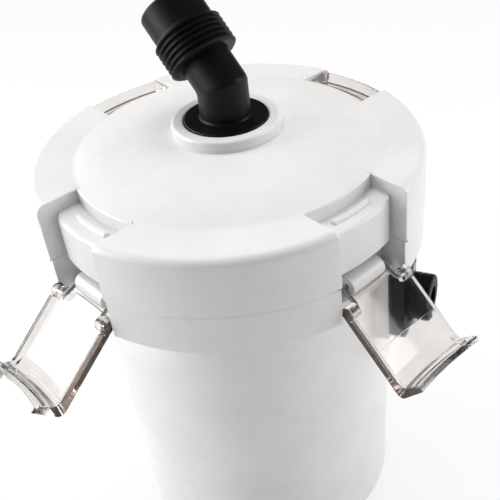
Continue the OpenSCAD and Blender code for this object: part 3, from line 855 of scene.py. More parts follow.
@dataclass
class Canister(Assembly):
    """The tapered shell with its collar, and the rubber ring that it stands on."""

    foot_z: float = 5.0
    foot_r: float = 69.5
    top_r: float = 72.5
    wall: float = 2.6
    collar_r: float = 88.4
    collar_z: float = 171.0
    recess_r: float = 76.0
    shelf_z: float = 175.3
    barrel_r: float = 4.5
    barrel_half: float = 10.0
    pad_out: float = 77.5
    parting: float = 0.3

    def profile(self) -> list[Point]:
        """Lists the rings of the shell and collar, from the foot to the joint."""
        top = LATCH.joint_z
        return [
            (0.5, self.foot_z), (self.foot_r - 5, self.foot_z),
            *arc((self.foot_r - 5, self.foot_z + 5), 5, -75, 0, 6),
            (self.top_r - 0.06, self.collar_z - 2),
            *arc((self.top_r + 2.0, self.collar_z - 2.0), 2.0, 165, 90, 4),
            (self.collar_r, self.collar_z), (self.collar_r, top - self.parting),
            (self.collar_r - 1, top - self.parting), (self.collar_r - 1.3, top), (0.5, top),
        ]

    def notch(self) -> Any:
        """Makes the tool that opens the collar for a clip and its barrel."""
        tool = Bench.turned("notch", [
            (LATCH.face_r, self.collar_z - 4), (95, self.collar_z - 4), (95, LATCH.joint_z + 3),
            (self.recess_r, LATCH.joint_z + 3), (self.recess_r, self.shelf_z),
            (LATCH.face_r, self.shelf_z),
        ])
        return Bench.between(tool, LATCH.half, -LATCH.half)

    def pocket(self) -> Any:
        """Makes the tool that hollows a block of the collar from below."""
        outer = self.collar_r - 3
        tool = Bench.turned("pocket", [
            (self.top_r + 0.5, self.collar_z - 4), (outer, self.collar_z - 4),
            (outer, LATCH.joint_z - 4), (self.top_r + 0.5, LATCH.joint_z - 4),
        ])
        half = math.radians(45) - math.asin((LATCH.half + 3) / outer)
        Bench.slice(tool, (30, 0, 0), (-1, 0, 0))
        for side in (-1, 1):
            Bench.slice(tool, (0, 0, 0), (-math.sin(half), side * math.cos(half), 0))
        return tool

    def barrel(self) -> Any:
        """Makes one hinge barrel with the web that carries it."""
        radius, half = self.barrel_r, self.barrel_half
        barrel = Bench.rod("barrel", radius, -half, half, 64)
        u, z = LATCH.pivot_a
        Bench.move(barrel, shift(u, 0, z) @ turn(90, "X"))
        web_in, low, high = self.recess_r - 2, z - radius + 2, z + radius - 2
        web = Bench.block("web", (web_in, -half, low), (u, half, high))
        return Bench.combine(barrel, web, Mix.ADD)

    def rod(self, radius: float, near: float, far: float, height: float) -> Any:
        """Makes a round tool along +X, for a hole."""
        return Bench.move(Bench.rod("rod", radius, near, far, 48), shift(z=height) @ turn(90, "Y"))

    def shell(self) -> Any:
        """Turns the shell, opens the notches and pockets, and adds barrels and the inlet's pad."""
        shell = Bench.turned("canister_moulding", self.profile(), looped=False)
        Bench.combine(shell, Bench.ring_of(self.notch(), CORNERS), Mix.CUT)
        Bench.combine(shell, Bench.ring_of(self.pocket(), (0, 90, 180, 270)), Mix.CUT)
        low = (self.top_r - 6.0, -PORT.half_width, PORT.height - PORT.half_height)
        high = (self.pad_out, PORT.half_width, PORT.height + PORT.half_height)
        inlet_side = toward(PORT.azimuth)
        pad = Bench.move(Bench.block("pad", low, high), inlet_side)
        Bench.combine(shell, pad, Mix.ADD)
        Bench.combine(shell, Bench.ring_of(self.barrel(), CORNERS), Mix.ADD)
        hollow = Bench.turned("hollow", [
            (self.foot_r - self.wall, self.foot_z + 3),
            (self.top_r - self.wall, LATCH.joint_z - 30),
            (self.top_r - self.wall, LATCH.joint_z + 1),
        ], looped=False)
        Bench.combine(shell, hollow, Mix.CUT)
        holes = [Bench.move(self.rod(7.0, 60, 84, PORT.height), inlet_side)]
        for side in (-1, 1):
            height = PORT.height + side * PORT.screw_off
            hole = self.rod(1.6, self.pad_out - 5, self.pad_out + 1, height)
            holes.append(Bench.move(hole, inlet_side))
        Bench.combine(shell, Bench.together(holes), Mix.CUT)
        u, z = LATCH.pivot_a
        wire = Bench.rod("wire_hole", LATCH.wire_hole, -12, 12, 32)
        Bench.move(wire, shift(u, 0, z) @ turn(90, "X"))
        Bench.combine(shell, Bench.ring_of(wire, CORNERS), Mix.CUT)
        return Bench.soften(shell, 0.5, merge=0.08)

    def build(self) -> None:
        """Builds the shell and the foot ring."""
        self.deliver(Bench.smooth(self.shell()), "canister", ["canister"], Finishes.WHITE_SHELL)
        radius = self.foot_r - 8
        foot = Bench.turned("foot_rubber", [
            (radius - 9, self.foot_z), *arc((radius - 7.5, 1.5), 1.5, 180, 270),
            *arc((radius - 5.2, 0.6), 0.6, 180, 90, 3), *arc((radius - 3.8, 0.6), 0.6, 90, 0, 3),
            *arc((radius - 1.5, 1.5), 1.5, 270, 360), (radius, self.foot_z),
        ])
        self.deliver(Bench.smooth(foot), "canister", ["foot_ring"], Finishes.BLACK_RUBBER)


# --- Lid ---


@dataclass
class Lid(Assembly):
    """The domed cover with its blocks, notches and beads, and the outlet's ring."""

    height: float = 27.0
    dome_r: float = 70.4
    dome_rise: float = 6.0
    wall: float = 3.0
    crown: float = 2.0
    ring_r: float = 24.6
    ring_h: float = 7.2
    ring_in_r: float = 19.1
    flange_r: float = 21.2
    round_over: float = 2.0
    edge_round: float = 3.4
    bead_r: float = 1.6
    bead_half: float = 11.0
    boss_at: float = 58.4

    @property
    def top(self) -> float:
        """Height of the blocks' tops."""
        return LATCH.joint_z + self.height

    @property
    def seat(self) -> float:
        """Height of the seat under the ring."""
        return self.top + self.dome_rise

    def dome(self, drop: float, steps: int = 20) -> list[Point]:
        """Lists the rings of the dome from its edge to the seat, lowered by the drop."""
        rise, rings = self.dome_rise + self.crown, []
        for i in range(1, steps + 1):
            r = self.dome_r - (self.dome_r - self.ring_r) * i / steps
            share = (r - self.ring_r) / (self.dome_r - self.ring_r)
            rings.append((r, self.top + rise * (1 - share**2) - drop))
        return rings

    def notch(self, grow: float = 0.0) -> Any:
        """Makes the tool that opens the lid for a clip, or the wall round it when grown."""
        ledge = LATCH.bead[1] - grow
        face = LATCH.face_r - grow
        e = self.round_over
        tool = Bench.turned("notch", [
            (97, LATCH.joint_z - 3), (face, LATCH.joint_z - 3),
            *arc((face - e, ledge - e), e, 0, 90),
            (self.dome_r - grow, ledge), (self.dome_r - grow, self.top + 11), (97, self.top + 11),
        ])
        return Bench.between(tool, LATCH.half + grow, -LATCH.half - grow)

    def face_end(self, side: int) -> Any:
        """Makes the tool that rounds one upright end of a notch's face."""
        e, half = self.edge_round, LATCH.half
        u = math.sqrt(LATCH.face_r**2 - half**2)
        low, high = sorted((side * (half - e), side * (half - 0.02)))
        under, over = LATCH.joint_z - 2, LATCH.bead[1] + 1
        tool = Bench.block("face_end", (u - e, low, under), (u + 3, high, over))
        post = Bench.rod("post", e, LATCH.joint_z - 4, LATCH.bead[1] + 3, 48)
        Bench.move(post, shift(u - e, side * (half - e)))
        return Bench.combine(tool, post, Mix.CUT)

    def bead(self) -> Any:
        """Makes one bead with rounded ends."""
        middle = LATCH.bead
        tool = Bench.turned("bead", arc(middle, self.bead_r, 0, 345, 23))
        Bench.between(tool, -self.bead_half, self.bead_half)
        ends = self.bead_half - 0.01
        return Bench.round_edges(tool, 0.9, 3, lambda a, b: min(abs(a.y), abs(b.y)) > ends)

    def cover(self) -> Any:
        """Turns the cover, hollows it and opens the notches."""
        top, joint = self.top, LATCH.joint_z
        r = LATCH.block_r
        cover = Bench.turned("lid_moulding", [
            (0.5, joint), (r, joint), *arc((r - 4, top - 4), 4, 0, 90, 6),
            (self.dome_r, top), *self.dome(0),
            (self.ring_r - 0.8, self.seat + self.crown),
            (self.ring_r - 1.2, self.seat), (0.5, self.seat),
        ], looped=False)
        inside = Bench.turned("inside", [
            (r - self.wall, joint - 1), (r - self.wall, top - self.wall - 3),
            (r - self.wall - 3, top - self.wall), (self.dome_r, top - self.wall),
            *self.dome(self.wall, 8),
        ], looped=False)
        grown = Bench.ring_of(self.notch(self.wall + self.edge_round / 2), CORNERS)
        Bench.combine(inside, grown, Mix.CUT)
        Bench.combine(cover, Bench.ring_of(self.notch(), CORNERS), Mix.CUT)
        Bench.combine(cover, inside, Mix.CUT)
        ends = [Bench.ring_of(self.face_end(side), CORNERS) for side in (-1, 1)]
        Bench.combine(cover, Bench.together(ends), Mix.CUT)
        Bench.combine(cover, Bench.ring_of(self.bead(), CORNERS), Mix.ADD)
        low, high = joint + 3.3, self.top
        boss = Bench.turned("boss", [(1.6, low), (4.0, low), (4.0, high), (1.6, high)], 40)
        Bench.move(boss, shift(self.boss_at))
        Bench.combine(cover, Bench.ring_of(boss, CORNERS), Mix.ADD)
        hole = Bench.rod("riser_hole", 12.0, self.seat - 8, self.seat + 2, 96)
        gland = Bench.rod("gland_hole", 5.5, 80, 95, 64)
        Bench.move(gland, toward(180) @ shift(z=joint + LATCH.gland_up) @ turn(90, "Y"))
        Bench.combine(cover, Bench.together([hole, gland]), Mix.CUT)
        return Bench.soften(cover, 0.5, 3, 0.3)

    def build(self) -> None:
        """Builds the cover and the outlet's ring."""
        self.deliver(Bench.smooth(self.cover()), "lid", ["lid_cover"], Finishes.WHITE_SHELL)
        high = self.seat + self.ring_h
        under = self.seat + 3.0
        ring = Bench.turned("outlet_collar", [
            (self.flange_r + 0.4, self.seat), (self.ring_r - 0.3, self.seat),
            (self.ring_r, self.seat + 0.3),
            *arc((self.ring_r - 1.5, high - 1.5), 1.5, 0, 90, 8),
            *arc((self.ring_in_r + 1, high - 1), 1, 90, 180),
            (self.ring_in_r, under), (self.flange_r + 0.4, under),
        ])
        self.deliver(Bench.smooth(ring), "lid", ["outlet_ring"], Finishes.WHITE_SHELL)


# --- Outlet elbow and its nut ---


@dataclass
class Elbow(Assembly):
    """The black elbow with its cap and hose tail, and the ribbed nut."""

    tube_r: float = 11.3
    tilt: float = 48.0
    azimuth: float = 224.0
    base_z: float = 223.2
    bend_z: float = 245.4
    cap_r: float = 18.95
    cap_top: float = 230.9
    flange_r: float = 21.2
    spigot_r: float = 8.94
    bore_r: float = 6.0
    nut_at: float = 12.9
    thread_r: float = 12.4
    tail_r: float = 6.2
    tail_bore: float = 4.4
    nut_r: float = 16.35
    grip_l: float = 15.2
    nose_l: float = 14.4
    ribs: int = 6

    @property
    def on_leg(self) -> Matrix:
        """Takes a shape drawn along +Z from the bend to the upper leg."""
        return shift(z=self.bend_z) @ toward(self.azimuth) @ turn(self.tilt, "Y")

    def tube(self, radius: float, low: float, length: float, soft: float) -> Any:
        """Makes both legs from an oval at the mitre, with the mitre's edge rounded.

        Args:
            radius: The tube's radius.
            low: Height of the upright leg's lower end.
            length: Length of the upper leg.
            soft: Width of the rounding at the mitre.

        Returns:
            The closed tube.
        """
        Bench.clear()
        half = math.radians(self.tilt / 2)
        bpy.ops.mesh.primitive_circle_add(vertices=96, radius=radius * MM)
        bpy.context.object.scale = (1 / math.cos(half), 1, 1)
        tube = Bench.settle("elbow_tube")
        legs = ((1, length), (-1, self.bend_z - low))
        for sign, run in legs:
            Bench.edit(tube)
            bpy.ops.mesh.select_all(action="DESELECT")
            bpy.ops.object.mode_set(mode="OBJECT")
            for vertex in tube.data.vertices:
                vertex.select = abs(vertex.co.z) < 1e-6
            bpy.ops.object.mode_set(mode="EDIT")
            bpy.ops.mesh.select_mode(type="VERT")
            bpy.ops.mesh.extrude_region_move()
            far = (run + radius) * MM
            step = (far * math.sin(half), 0, sign * far * math.cos(half))
            bpy.ops.transform.translate(value=step)
            axis = Vector((math.sin(half), 0, sign * math.cos(half)))
            bpy.ops.mesh.select_all(action="SELECT")
            bpy.ops.mesh.bisect(
                plane_co=axis * run * MM, plane_no=axis, use_fill=True, clear_outer=True
            )
        bpy.ops.mesh.select_all(action="SELECT")
        bpy.ops.mesh.normals_make_consistent(inside=False)
        Bench.clear()
        if soft:
            Bench.round_edges(tube, soft, 6, lambda a, b: max(abs(a.z), abs(b.z)) < 0.01)
        lean = turn(self.tilt / 2, "Y")
        return Bench.move(tube, shift(z=self.bend_z) @ toward(self.azimuth) @ lean)

    def body(self) -> Any:
        """Joins tube, cap, spigot and hose tail, and bores them."""
        elbow = self.tube(self.tube_r, self.base_z, self.nut_at + 1, 1.3)
        z, top = self.base_z, self.cap_top
        cap = Bench.turned("cap", [
            (self.spigot_r, z - 18), (self.spigot_r, z - 11.1), (self.spigot_r - 1.8, z - 11.1),
            (self.spigot_r - 1.8, z - 8.9), (self.spigot_r, z - 8.9), (self.spigot_r, z),
            (self.flange_r, z), (self.flange_r, z + 2.6), (self.cap_r, z + 2.6),
            *arc((self.cap_r - 0.9, top - 0.9), 0.9, 0, 90),
            (self.cap_r - 2.2, top - 0.12), (self.tube_r + 1.6, top - 0.12),
            *arc((self.tube_r + 1.3, top + 1.2), 1.3, 270, 180, 5), (self.tube_r - 1.0, top + 1.3),
        ], 144, looped=False)
        Bench.combine(elbow, cap, Mix.ADD)
        tail = Bench.turned("tail", [
            (self.tube_r - 1, self.nut_at + 0.6), (self.thread_r, self.nut_at + 0.6),
            (self.thread_r, self.nut_at + 10), (self.tail_r, self.nut_at + 10),
            (self.tail_r, self.nut_at + 23.5), (self.tail_r - 1.0, self.nut_at + 25),
            (2.0, self.nut_at + 25),
            (2.0, self.nut_at - 1), (self.tube_r - 1, self.nut_at - 1),
        ], 96)
        Bench.combine(elbow, Bench.move(tail, self.on_leg), Mix.ADD)
        Bench.combine(elbow, self.tube(self.bore_r, z - 19, self.nut_at + 3, 0.0), Mix.CUT)
        bore = Bench.rod("tail_bore", self.tail_bore, self.nut_at, self.nut_at + 27, 64)
        return Bench.combine(elbow, Bench.move(bore, self.on_leg), Mix.CUT)

    def nut(self) -> Any:
        """Turns the nut: six sharp ribs, a shoulder and a plain nose."""
        r, pitch, end = self.nut_r, self.grip_l / self.ribs, self.grip_l + self.nose_l
        rings: list[Point] = [(self.tube_r + 0.3, 0), (r - 1.7, 0), (r - 1.3, 0.1)]
        for k in range(self.ribs):
            rings += [
                (r - 1.3, (k + 0.06) * pitch), (r - 0.2, (k + 0.3) * pitch),
                (r, (k + 0.38) * pitch),
                (r, (k + 0.5) * pitch), (r - 0.2, (k + 0.56) * pitch), (r - 1.3, (k + 0.7) * pitch),
            ]
        nose = r - 2.05
        rings += [
            (r - 1.3, self.grip_l - 0.3), (nose + 0.2, self.grip_l + 0.6),
            (nose, self.grip_l + 1.0), *arc((nose - 1.5, end - 1.5), 1.5, 0, 90),
            *arc((self.tail_r + 3.0, end - 0.6), 0.6, 90, 180, 3),
            (self.tail_r + 2.4, self.grip_l + 2), (self.thread_r + 0.06, self.grip_l - 3),
        ]
        nut = Bench.turned("hose_nut", rings, 144)
        return Bench.move(nut, self.on_leg @ shift(z=self.nut_at))

    def build(self) -> None:
        """Builds the elbow and the nut."""
        black = Finishes.BLACK_FITTING
        self.deliver(Bench.smooth(self.body(), 32), "elbow", ["outlet_elbow"], black)
        self.deliver(Bench.smooth(self.nut(), 28), "outlet_nut", ["outlet_nut"], black)


# --- Latches ---


@dataclass
class Latches(Assembly):
    """Four clear clips on four wire bails."""

    lip: float = 10.2
    ear_r: float = 3.2
    ear_in: float = 14.0
    flange: float = 1.6
    wire_r: float = 1.0
    bail_half: float = 11.9
    bail_foot: float = 12.6
    bend: float = 1.8
    columns: int = 66
    shut_ior: float = 1.12

    def strip(self, outline: Sequence[Point], low: float, high: float) -> Any:
        """Turns an outline of the shut clip about the lid's axis and keeps a strip of it."""
        strip = Bench.turned("strip", [LATCH.shut(p) for p in outline], self.columns)
        return Bench.between(Bench.move(strip, turn(180 / self.columns, "Z")), low, high)

    def plate_outline(self) -> list[Point]:
        """Lists the plate's outline, with its mould line, lip and groove."""
        length, back, inner = LATCH.clip_length, LATCH.back, LATCH.back + LATCH.thickness
        hook, groove = length - 2.35, length - 2.0
        return [
            (-LATCH.heel, back), (19.6, back), (19.95, back + 0.1), (20.3, back),
            *arc((length - 3, back + 3), 3, -90, 0, 8),
            (length, self.lip), (hook, self.lip), (hook, 9.1), (groove, 8.6), (groove, 5.0),
            (groove - 1.5, 4.8), *arc((groove - 8.1, 3.4), 3.4 - inner, 0, -90, 8),
            (-LATCH.heel, inner),
        ]

    def flange_outline(self) -> list[Point]:
        """Lists the outline of a side flange, from inside the plate to inside the lip."""
        length, mid, low = LATCH.clip_length, LATCH.back + LATCH.thickness / 2, -0.2
        return [
            (3, mid), (length - 1, mid), (length - 1, self.lip - 1), (length - 3.2, self.lip - 2.2),
            *arc((length - 7.2, low + 4), 4, 0, -90, 8), (3, low),
        ]

    def clip(self) -> Any:
        """Makes one clip as it lies when shut, seen along +X."""
        half, thick = LATCH.clip_half, self.flange
        clip = Bench.soften(self.strip(self.plate_outline(), -half, half), 0.2, 2, 0.05)
        for low, high in ((0.03 - half, thick - half), (half - thick, half - 0.03)):
            flange = Bench.soften(self.strip(self.flange_outline(), low, high), 0.2, 2, 0.05)
            Bench.combine(clip, flange, Mix.ADD)
        u, z = LATCH.pivot_b
        place = shift(u, 0, z) @ turn(-90, "X")
        for side in (-1, 1):
            near, far = sorted((side * self.ear_in, side * (half - 0.05)))
            ear = Bench.soften(Bench.rod("ear", self.ear_r, near, far, 48), 0.35)
            Bench.combine(clip, Bench.move(ear, place), Mix.ADD)
        hole = Bench.rod("wire_hole", LATCH.wire_hole, -half + 1.5, half - 1.5, 32)
        return Bench.combine(clip, Bench.move(hole, place), Mix.CUT)

    def bail(self) -> Any:
        """Bends one wire: through the barrel, and at each end in an S to the clip's ear."""
        (au, az), (bu, bz) = LATCH.pivot_a, LATCH.pivot_b
        tip = LATCH.clip_half - self.flange - 0.2
        half = [(bu, tip, bz), (bu, self.bail_foot, bz), (au, self.bail_half, az)]
        corners = [metres(p) for p in half + [(p[0], -p[1], p[2]) for p in reversed(half)]]
        path = [corners[0]]
        for before, at, after in zip(corners, corners[1:], corners[2:]):
            into, out = (before - at).normalized(), (after - at).normalized()
            opening = into.angle(out)
            back = min(self.bend * MM / math.tan(opening / 2), 0.45 * (before - at).length)
            radius = back * math.tan(opening / 2)
            centre = at + (into + out).normalized() * radius / math.sin(opening / 2)
            first, last = at + into * back - centre, at + out * back - centre
            path += [centre + first.slerp(last, i / 7) * radius for i in range(8)]
        path.append(corners[-1])
        curve = bpy.data.curves.new("bail", "CURVE")
        curve.dimensions = "3D"
        curve.bevel_depth = self.wire_r * MM
        curve.bevel_resolution = 5
        curve.use_fill_caps = True
        spline = curve.splines.new("POLY")
        spline.points.add(len(path) - 1)
        for point, place in zip(spline.points, path):
            point.co = (*place, 1.0)
        wire = bpy.data.objects.new("bail", curve)
        bpy.context.collection.objects.link(wire)
        Bench.pick(wire)
        bpy.ops.object.convert(target="MESH")
        wire = bpy.context.object
        Bench.edit(wire)
        bpy.ops.mesh.remove_doubles(threshold=0.002 * MM)
        bpy.ops.mesh.normals_make_consistent(inside=False)
        Bench.clear()
        return wire

    def build(self) -> None:
        """Builds a clip and a bail, and copies them to the four corners."""
        clip, bail = Bench.smooth(self.clip(), 30), self.bail()
        Bench.pick(bail)
        bpy.ops.object.shade_smooth()
        u, z = LATCH.pivot_b
        pivot = shift(u, 0, z)
        hang = pivot @ turn(LATCH.shut_angle - LATCH.open_angle, "Y") @ pivot.inverted()
        shut = replace(Finishes.CLEAR_CLIP.value, name="shut_clip", ior=self.shut_ior)
        for corner in Corner:
            place = toward(corner.value) @ (hang if corner.open else Matrix.Identity(4))
            name = corner.label
            twin = Bench.copy(clip, f"latch_clip_{name}", place)
            other = None if corner.open else shut
            self.deliver(twin, f"clip_{name}", [f"clip_{name}"], Finishes.CLEAR_CLIP, other)
            wire = Bench.copy(bail, f"latch_wire_{name}", toward(corner.value))
            self.deliver(wire, f"bail_{name}", [f"bail_{name}"], Finishes.BAIL_WIRE)
        for pattern in (clip, bail):
            bpy.data.objects.remove(pattern)


# --- Inlet and cable gland ---


@dataclass
class Inlet(Assembly):
    """The inlet's black housing and round nut on the canister's side, and the gland at the rear."""

    plate_in: float = 79.0
    plate_out: float = 85.0
    neck_r: float = 7.6
    neck_end: float = 96.0
    nut_r: float = 11.3

    @property
    def place(self) -> Matrix:
        """Takes a shape drawn along +Z to the inlet's axis."""
        return toward(PORT.azimuth) @ shift(z=PORT.height) @ turn(90, "Y")

    def housing(self) -> Any:
        """Makes the plate with rounded corners, and the neck with its guard bars."""
        high, wide = PORT.half_height, PORT.half_width
        corners = (-high, -wide, self.plate_in), (high, wide, self.plate_out)
        plate = Bench.block("inlet_plate", *corners)
        Bench.round_edges(plate, 6, 8, lambda a, b: abs(a.z - b.z) > 1)
        neck = Bench.turned("neck", [
            (self.neck_r - 2, self.plate_in + 0.5), (self.neck_r, self.plate_in + 0.5),
            (self.neck_r, self.neck_end), (self.neck_r - 2, self.neck_end),
        ], 96, looped=False)
        Bench.combine(plate, neck, Mix.ADD)
        mouth = Bench.turned("mouth", [
            (5.4, self.plate_in - 1), (5.4, self.neck_end - 4),
            (6.0, self.neck_end - 4), (6.0, self.neck_end + 1),
        ], 64, looped=False)
        for side in (-1, 1):
            y = side * 5.4 * 0.42
            ends = (-8, y - 0.6, self.plate_in - 3), (8, y + 0.6, self.neck_end - 4.2)
            bar = Bench.block("bar", *ends)
            Bench.combine(mouth, bar, Mix.CUT)
        Bench.combine(plate, mouth, Mix.CUT)
        holes = []
        for side in (-1, 1):
            hole = Bench.rod("hole", 1.8, self.plate_in - 1, self.plate_out + 1, 32)
            holes.append(Bench.move(hole, shift(side * PORT.screw_off)))
        Bench.combine(plate, Bench.together(holes), Mix.CUT)
        plate.name = "inlet_fitting"
        return Bench.move(Bench.soften(plate, 0.4), self.place)

    def nut(self) -> Any:
        """Turns the round head with its rolled rim."""
        low, high, r = self.plate_out + 1.2, self.neck_end, self.nut_r
        rings = [
            (self.neck_r + 0.06, low), (r - 0.7, low), (r - 0.2, low + 0.2),
            (r, low + 0.7), (r, low + 3.0),
            (r - 0.35, low + 3.3), (r - 0.35, low + 3.7), (r, low + 4.0),
            *arc((r - 1.4, high - 1.4), 1.4, 0, 90),
            (self.neck_r + 0.5, high - 0.05), (self.neck_r + 0.06, high - 0.4),
        ]
        return Bench.move(Bench.turned("inlet_collar", rings, 96), self.place)

    def gland(self) -> Any:
        """Turns the gland with three bending grooves."""
        base = LATCH.block_r
        rings = [
            (3.2, base - 6), (5.4, base - 6), (5.4, base), (7.5, base), (7.5, base + 1.7),
            (7.2, base + 2), (5.0, base + 3), (4.95, base + 4), (4.2, base + 4.3),
            (4.75, base + 4.8), (4.65, base + 5.6), (4.0, base + 5.9), (4.5, base + 6.4),
            (4.4, base + 7.6), (4.0, base + 8), (3.2, base + 8),
        ]
        place = toward(180) @ shift(z=LATCH.joint_z + LATCH.gland_up) @ turn(90, "Y")
        return Bench.move(Bench.turned("cord_gland", rings, 72), place)

    def build(self) -> None:
        """Builds the housing, the nut and the gland."""
        black = Finishes.BLACK_FITTING
        self.deliver(Bench.smooth(self.housing(), 32), "canister", ["inlet_housing"], black)
        self.deliver(Bench.smooth(self.nut(), 32), "inlet_nut", ["inlet_nut"], black)
        self.deliver(Bench.smooth(self.gland(), 32), "lid", ["cable_gland"], Finishes.BLACK_RUBBER)


# --- Filter media ---


@dataclass
class Media(Assembly):
    """The three pads in the baskets: two foams and a fine wool pad."""

    radius: float = 61.7
    bay_at: float = 57.4
    bay_r: float = 12.3
    floor: float = 14.3
    pitch: float = 51.333

    def pad(self, name: str, index: int, height: float, lumps: float) -> Any:
        """Makes one pad: a cut disc whose skin is remeshed, crowned and made uneven.

        Args:
            name: The pad's name.
            index: Which basket it lies in, from below.
            height: Its thickness.
            lumps: How uneven its skin is, in millimetres.

        Returns:
            The pad.
        """
        low = self.floor + index * self.pitch
        inset = 0.8 + lumps
        r = self.radius - inset
        pad = Bench.turned(name, [
            (r - 3, low + inset), *arc((r - 2.5, low + inset + 2.5), 2.5, -90, 0, 4),
            (r, low + height / 2), *arc((r - 2.5, low + height - inset - 2.5), 2.5, 0, 90, 4),
            (r / 2, low + height - inset), (4, low + height - inset),
        ], 96, looped=False)
        side = self.bay_r + inset
        bay = Bench.rod("bay", side, low - 5, low + height + 5, 48)
        Bench.move(bay, toward(PORT.azimuth) @ shift(self.bay_at))
        ends = (self.bay_at, -side, low - 5), (self.bay_at + 40, side, low + height + 5)
        slot = Bench.block("slot", *ends)
        Bench.move(slot, toward(PORT.azimuth))
        for tool in (bay, slot):
            Bench.combine(pad, tool, Mix.CUT)
        pad.data.remesh_voxel_size = 2.2 * MM
        Bench.pick(pad)
        bpy.ops.object.voxel_remesh()
        Bench.apply(pad, "SMOOTH", factor=0.6, iterations=6)
        lump = bpy.data.textures.new(name + "_lumps", "CLOUDS")
        lump.noise_scale = 6 * MM
        lump.noise_depth = 2
        Bench.apply(
            pad, "DISPLACE", texture=lump, strength=lumps * MM, mid_level=0.5,
            texture_coords="GLOBAL",
        )
        Bench.pick(pad)
        bpy.ops.object.shade_smooth()
        return pad

    def build(self) -> None:
        """Builds the three pads."""
        pads = (
            ("foam_coarse", "sponge_coarse", 0, 41.333, 0.7, Finishes.COARSE_FOAM, 0.8),
            ("foam_medium", "sponge_medium", 1, 41.333, 0.5, Finishes.MEDIUM_FOAM, 0.8),
            ("wool_fine", "sponge_fine", 2, 33.333, 0.9, Finishes.FINE_FOAM, 0.6),
        )
        for name, node, index, height, lumps, finish, fill in pads:
            pad = self.pad(name, index, height, lumps)
            self.deliver(pad, "canister", [node], finish)


# --- Inner parts, studio and camera ---


@dataclass
class InnerParts:
    """The frame's own nodes that stay, each with its finish."""

    nodes: dict[str, Any]
    finishes: tuple[tuple[Finishes, tuple[str, ...]], ...] = (
        (Finishes.BLACK_RUBBER, ("inlet_gasket", "lid_seal", "shaft_bushings", "elbow_seal")),
        (Finishes.SCREW_STEEL, ("inlet_screws", "lid_screws")),
        (Finishes.DARK_PLASTIC, (
            "down_pipe", "basket_lower", "basket_middle", "basket_upper", "pump_base",
            "impeller_cover",
        )),
        (Finishes.CORE_STEEL, ("stator_core",)),
        (Finishes.COIL_COPPER, ("stator_coils",)),
        (Finishes.CERAMIC_SHAFT, ("impeller_shaft",)),
        (Finishes.IMPELLER_PLASTIC, ("impeller",)),
        (Finishes.FERRITE, ("rotor_magnet",)),
    )

    def dress(self) -> None:
        """Gives each node's object its finish."""
        for finish, names in self.finishes:
            for name in names:
                piece = self.nodes[name]
                if not piece.material_slots:
                    piece.data.materials.append(None)
                for slot in piece.material_slots:
                    slot.material = finish.value.make()
                LOG.info("%s keeps its shape, finish %s", name, finish.slot)


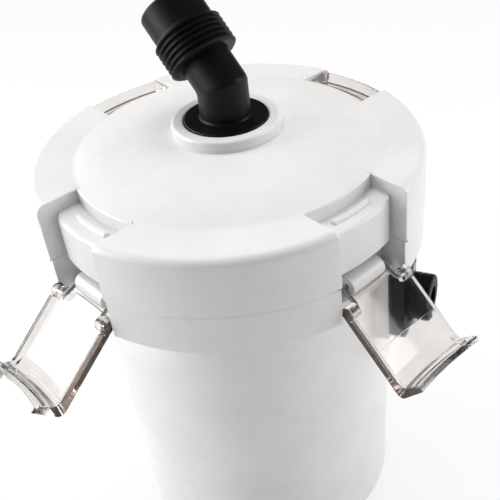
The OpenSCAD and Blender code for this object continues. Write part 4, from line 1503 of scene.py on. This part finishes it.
@dataclass
class Studio:
    """A pale floor, a white surround and soft lamps."""

    surround: float = 0.8
    front: float = 0.25
    gloss: float = 0.12
    gleam: float = 2.6
    floor_glow: float = 0.8
    floor_shade: Colour = (0.88, 0.88, 0.88, 1.0)

    def lamp(
        self, name: str, place: Place, size: float, power: float, aim: Place = (0, 0, 170)
    ) -> Any:
        """Adds one soft lamp that points at a place.

        Args:
            name: The lamp's name.
            place: Where it stands, in millimetres.
            size: Its width in millimetres.
            power: Its power in watts.
            aim: What it points at.

        Returns:
            The lamp.
        """
        data = bpy.data.lights.new(name, "AREA")
        data.shape, data.size, data.energy = "DISK", size * MM, power
        lamp = bpy.data.objects.new(name, data)
        bpy.context.collection.objects.link(lamp)
        lamp.location = metres(place)
        lamp.rotation_euler = (metres(aim) - lamp.location).to_track_quat("-Z", "Y").to_euler()
        return lamp

    def surroundings(self) -> None:
        """Makes a world white to the camera, darker in front and bright to gloss on the left."""
        world = bpy.context.scene.world or bpy.data.worlds.new("surround")
        bpy.context.scene.world = world
        world.use_nodes = True
        tree = Tree(world.node_tree)
        path = tree.add("ShaderNodeLightPath").outputs
        round_about = tree.add("ShaderNodeTexCoord").outputs["Generated"]
        axes = tree.add("ShaderNodeSeparateXYZ", Vector=round_about).outputs
        behind = tree.ramp(axes["Y"], -0.5, 0.4, self.front, 1.0)
        level = tree.ramp(path["Is Transmission Ray"], 0.0, 1.0, self.surround, 1.0)
        plain = tree.maths("MULTIPLY", level, behind)
        gleam = tree.ramp(axes["X"], -0.95, -0.45, self.gleam, self.gloss)
        pick = tree.add("ShaderNodeMix", data_type="FLOAT")
        for index, value in ((0, path["Is Glossy Ray"]), (2, plain), (3, gleam)):
            tree.feed(pick.inputs[index], value)
        strength = tree.maths("MAXIMUM", path["Is Camera Ray"], pick.outputs[0])
        light = tree.add("ShaderNodeBackground", Color=(1, 1, 1, 1), Strength=strength)
        out = tree.add("ShaderNodeOutputWorld")
        tree.feed(out.inputs["Surface"], light.outputs[0])

    def build(self) -> None:
        """Sets up world, floor and lamps."""
        self.surroundings()
        Bench.clear()
        bpy.ops.mesh.primitive_plane_add(size=8.0)
        floor = Bench.settle("studio_floor")
        material = bpy.data.materials.new("studio_floor")
        material.use_nodes = True
        tree = Tree(material.node_tree)
        paint = tree.add("ShaderNodeBsdfDiffuse", Color=self.floor_shade)
        glow = tree.add("ShaderNodeEmission", Color=(1, 1, 1, 1), Strength=1.0)
        path = tree.add("ShaderNodeLightPath").outputs
        gloss = tree.maths("MAXIMUM", path["Is Glossy Ray"], path["Is Transmission Ray"])
        axes = tree.add("ShaderNodeSeparateXYZ", Vector=tree.place()).outputs
        fall = tree.ramp(axes["Y"], -0.6, -0.1, self.front, 1.0)
        seen = tree.maths("MAXIMUM", path["Is Camera Ray"], tree.maths("MULTIPLY", gloss, fall))
        share = tree.maths("MULTIPLY", seen, self.floor_glow)
        mixed = tree.add("ShaderNodeMixShader")
        for socket, source in zip(mixed.inputs, (share, paint.outputs[0], glow.outputs[0])):
            tree.feed(socket, source)
        out = tree.add("ShaderNodeOutputMaterial")
        tree.feed(out.inputs["Surface"], mixed.outputs[0])
        floor.data.materials.append(material)
        self.lamp("top_lamp", (-100, 200, 1200), 1000, 5.8).visible_glossy = False
        self.lamp("left_lamp", (-1100, -50, 500), 700, 9.2)
        self.lamp("right_lamp", (1100, 50, 500), 700, 5.6)
        view = bpy.context.scene.view_settings
        view.view_transform = "Standard"


@dataclass
class Camera:
    """The camera's place round the head, found from the filter's outlines."""

    azimuth: float = 0.0768
    elevation: float = 34.2398
    distance: float = 383.0119
    roll: float = -3.1129
    target: Place = (43.8388, 0.0, 176.5833)
    lens: float = 57.152
    shift: Point = (-0.16, -0.08)

    def build(self) -> None:
        """Adds the camera and makes it the scene's own."""
        a, e, r = (math.radians(v) for v in (self.azimuth, self.elevation, self.roll))
        back = Vector((math.sin(a) * math.cos(e), -math.cos(a) * math.cos(e), math.sin(e)))
        right = (-back).cross(Vector((0, 0, 1))).normalized()
        upright = right.cross(-back)
        across = right * math.cos(r) + upright * math.sin(r)
        up = -right * math.sin(r) + upright * math.cos(r)
        data = bpy.data.cameras.new("view")
        data.sensor_width, data.lens = 36.0, self.lens
        data.shift_x, data.shift_y = self.shift
        data.clip_start, data.clip_end = 0.01, 50.0
        camera = bpy.data.objects.new("view", data)
        bpy.context.collection.objects.link(camera)
        turn = Matrix((across, up, back)).transposed().to_4x4()
        turn.translation = metres(self.target) + back * self.distance * MM
        camera.matrix_world = turn
        bpy.context.scene.camera = camera


def main() -> None:
    """Builds the filter's pieces round the frame and reports each one."""
    logging.basicConfig(level=logging.INFO, format="%(name)s %(message)s")
    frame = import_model()
    for assembly in (Canister(), Lid(), Elbow(), Latches(), Inlet(), Media()):
        assembly.build()
        LOG.info("%s: %s", type(assembly).__name__, ", ".join(assembly.made))
    InnerParts(frame["nodes"]).dress()
    Studio().build()
    Camera().build()
    bpy.context.view_layer.update()


if __name__ == "__main__":
    main()
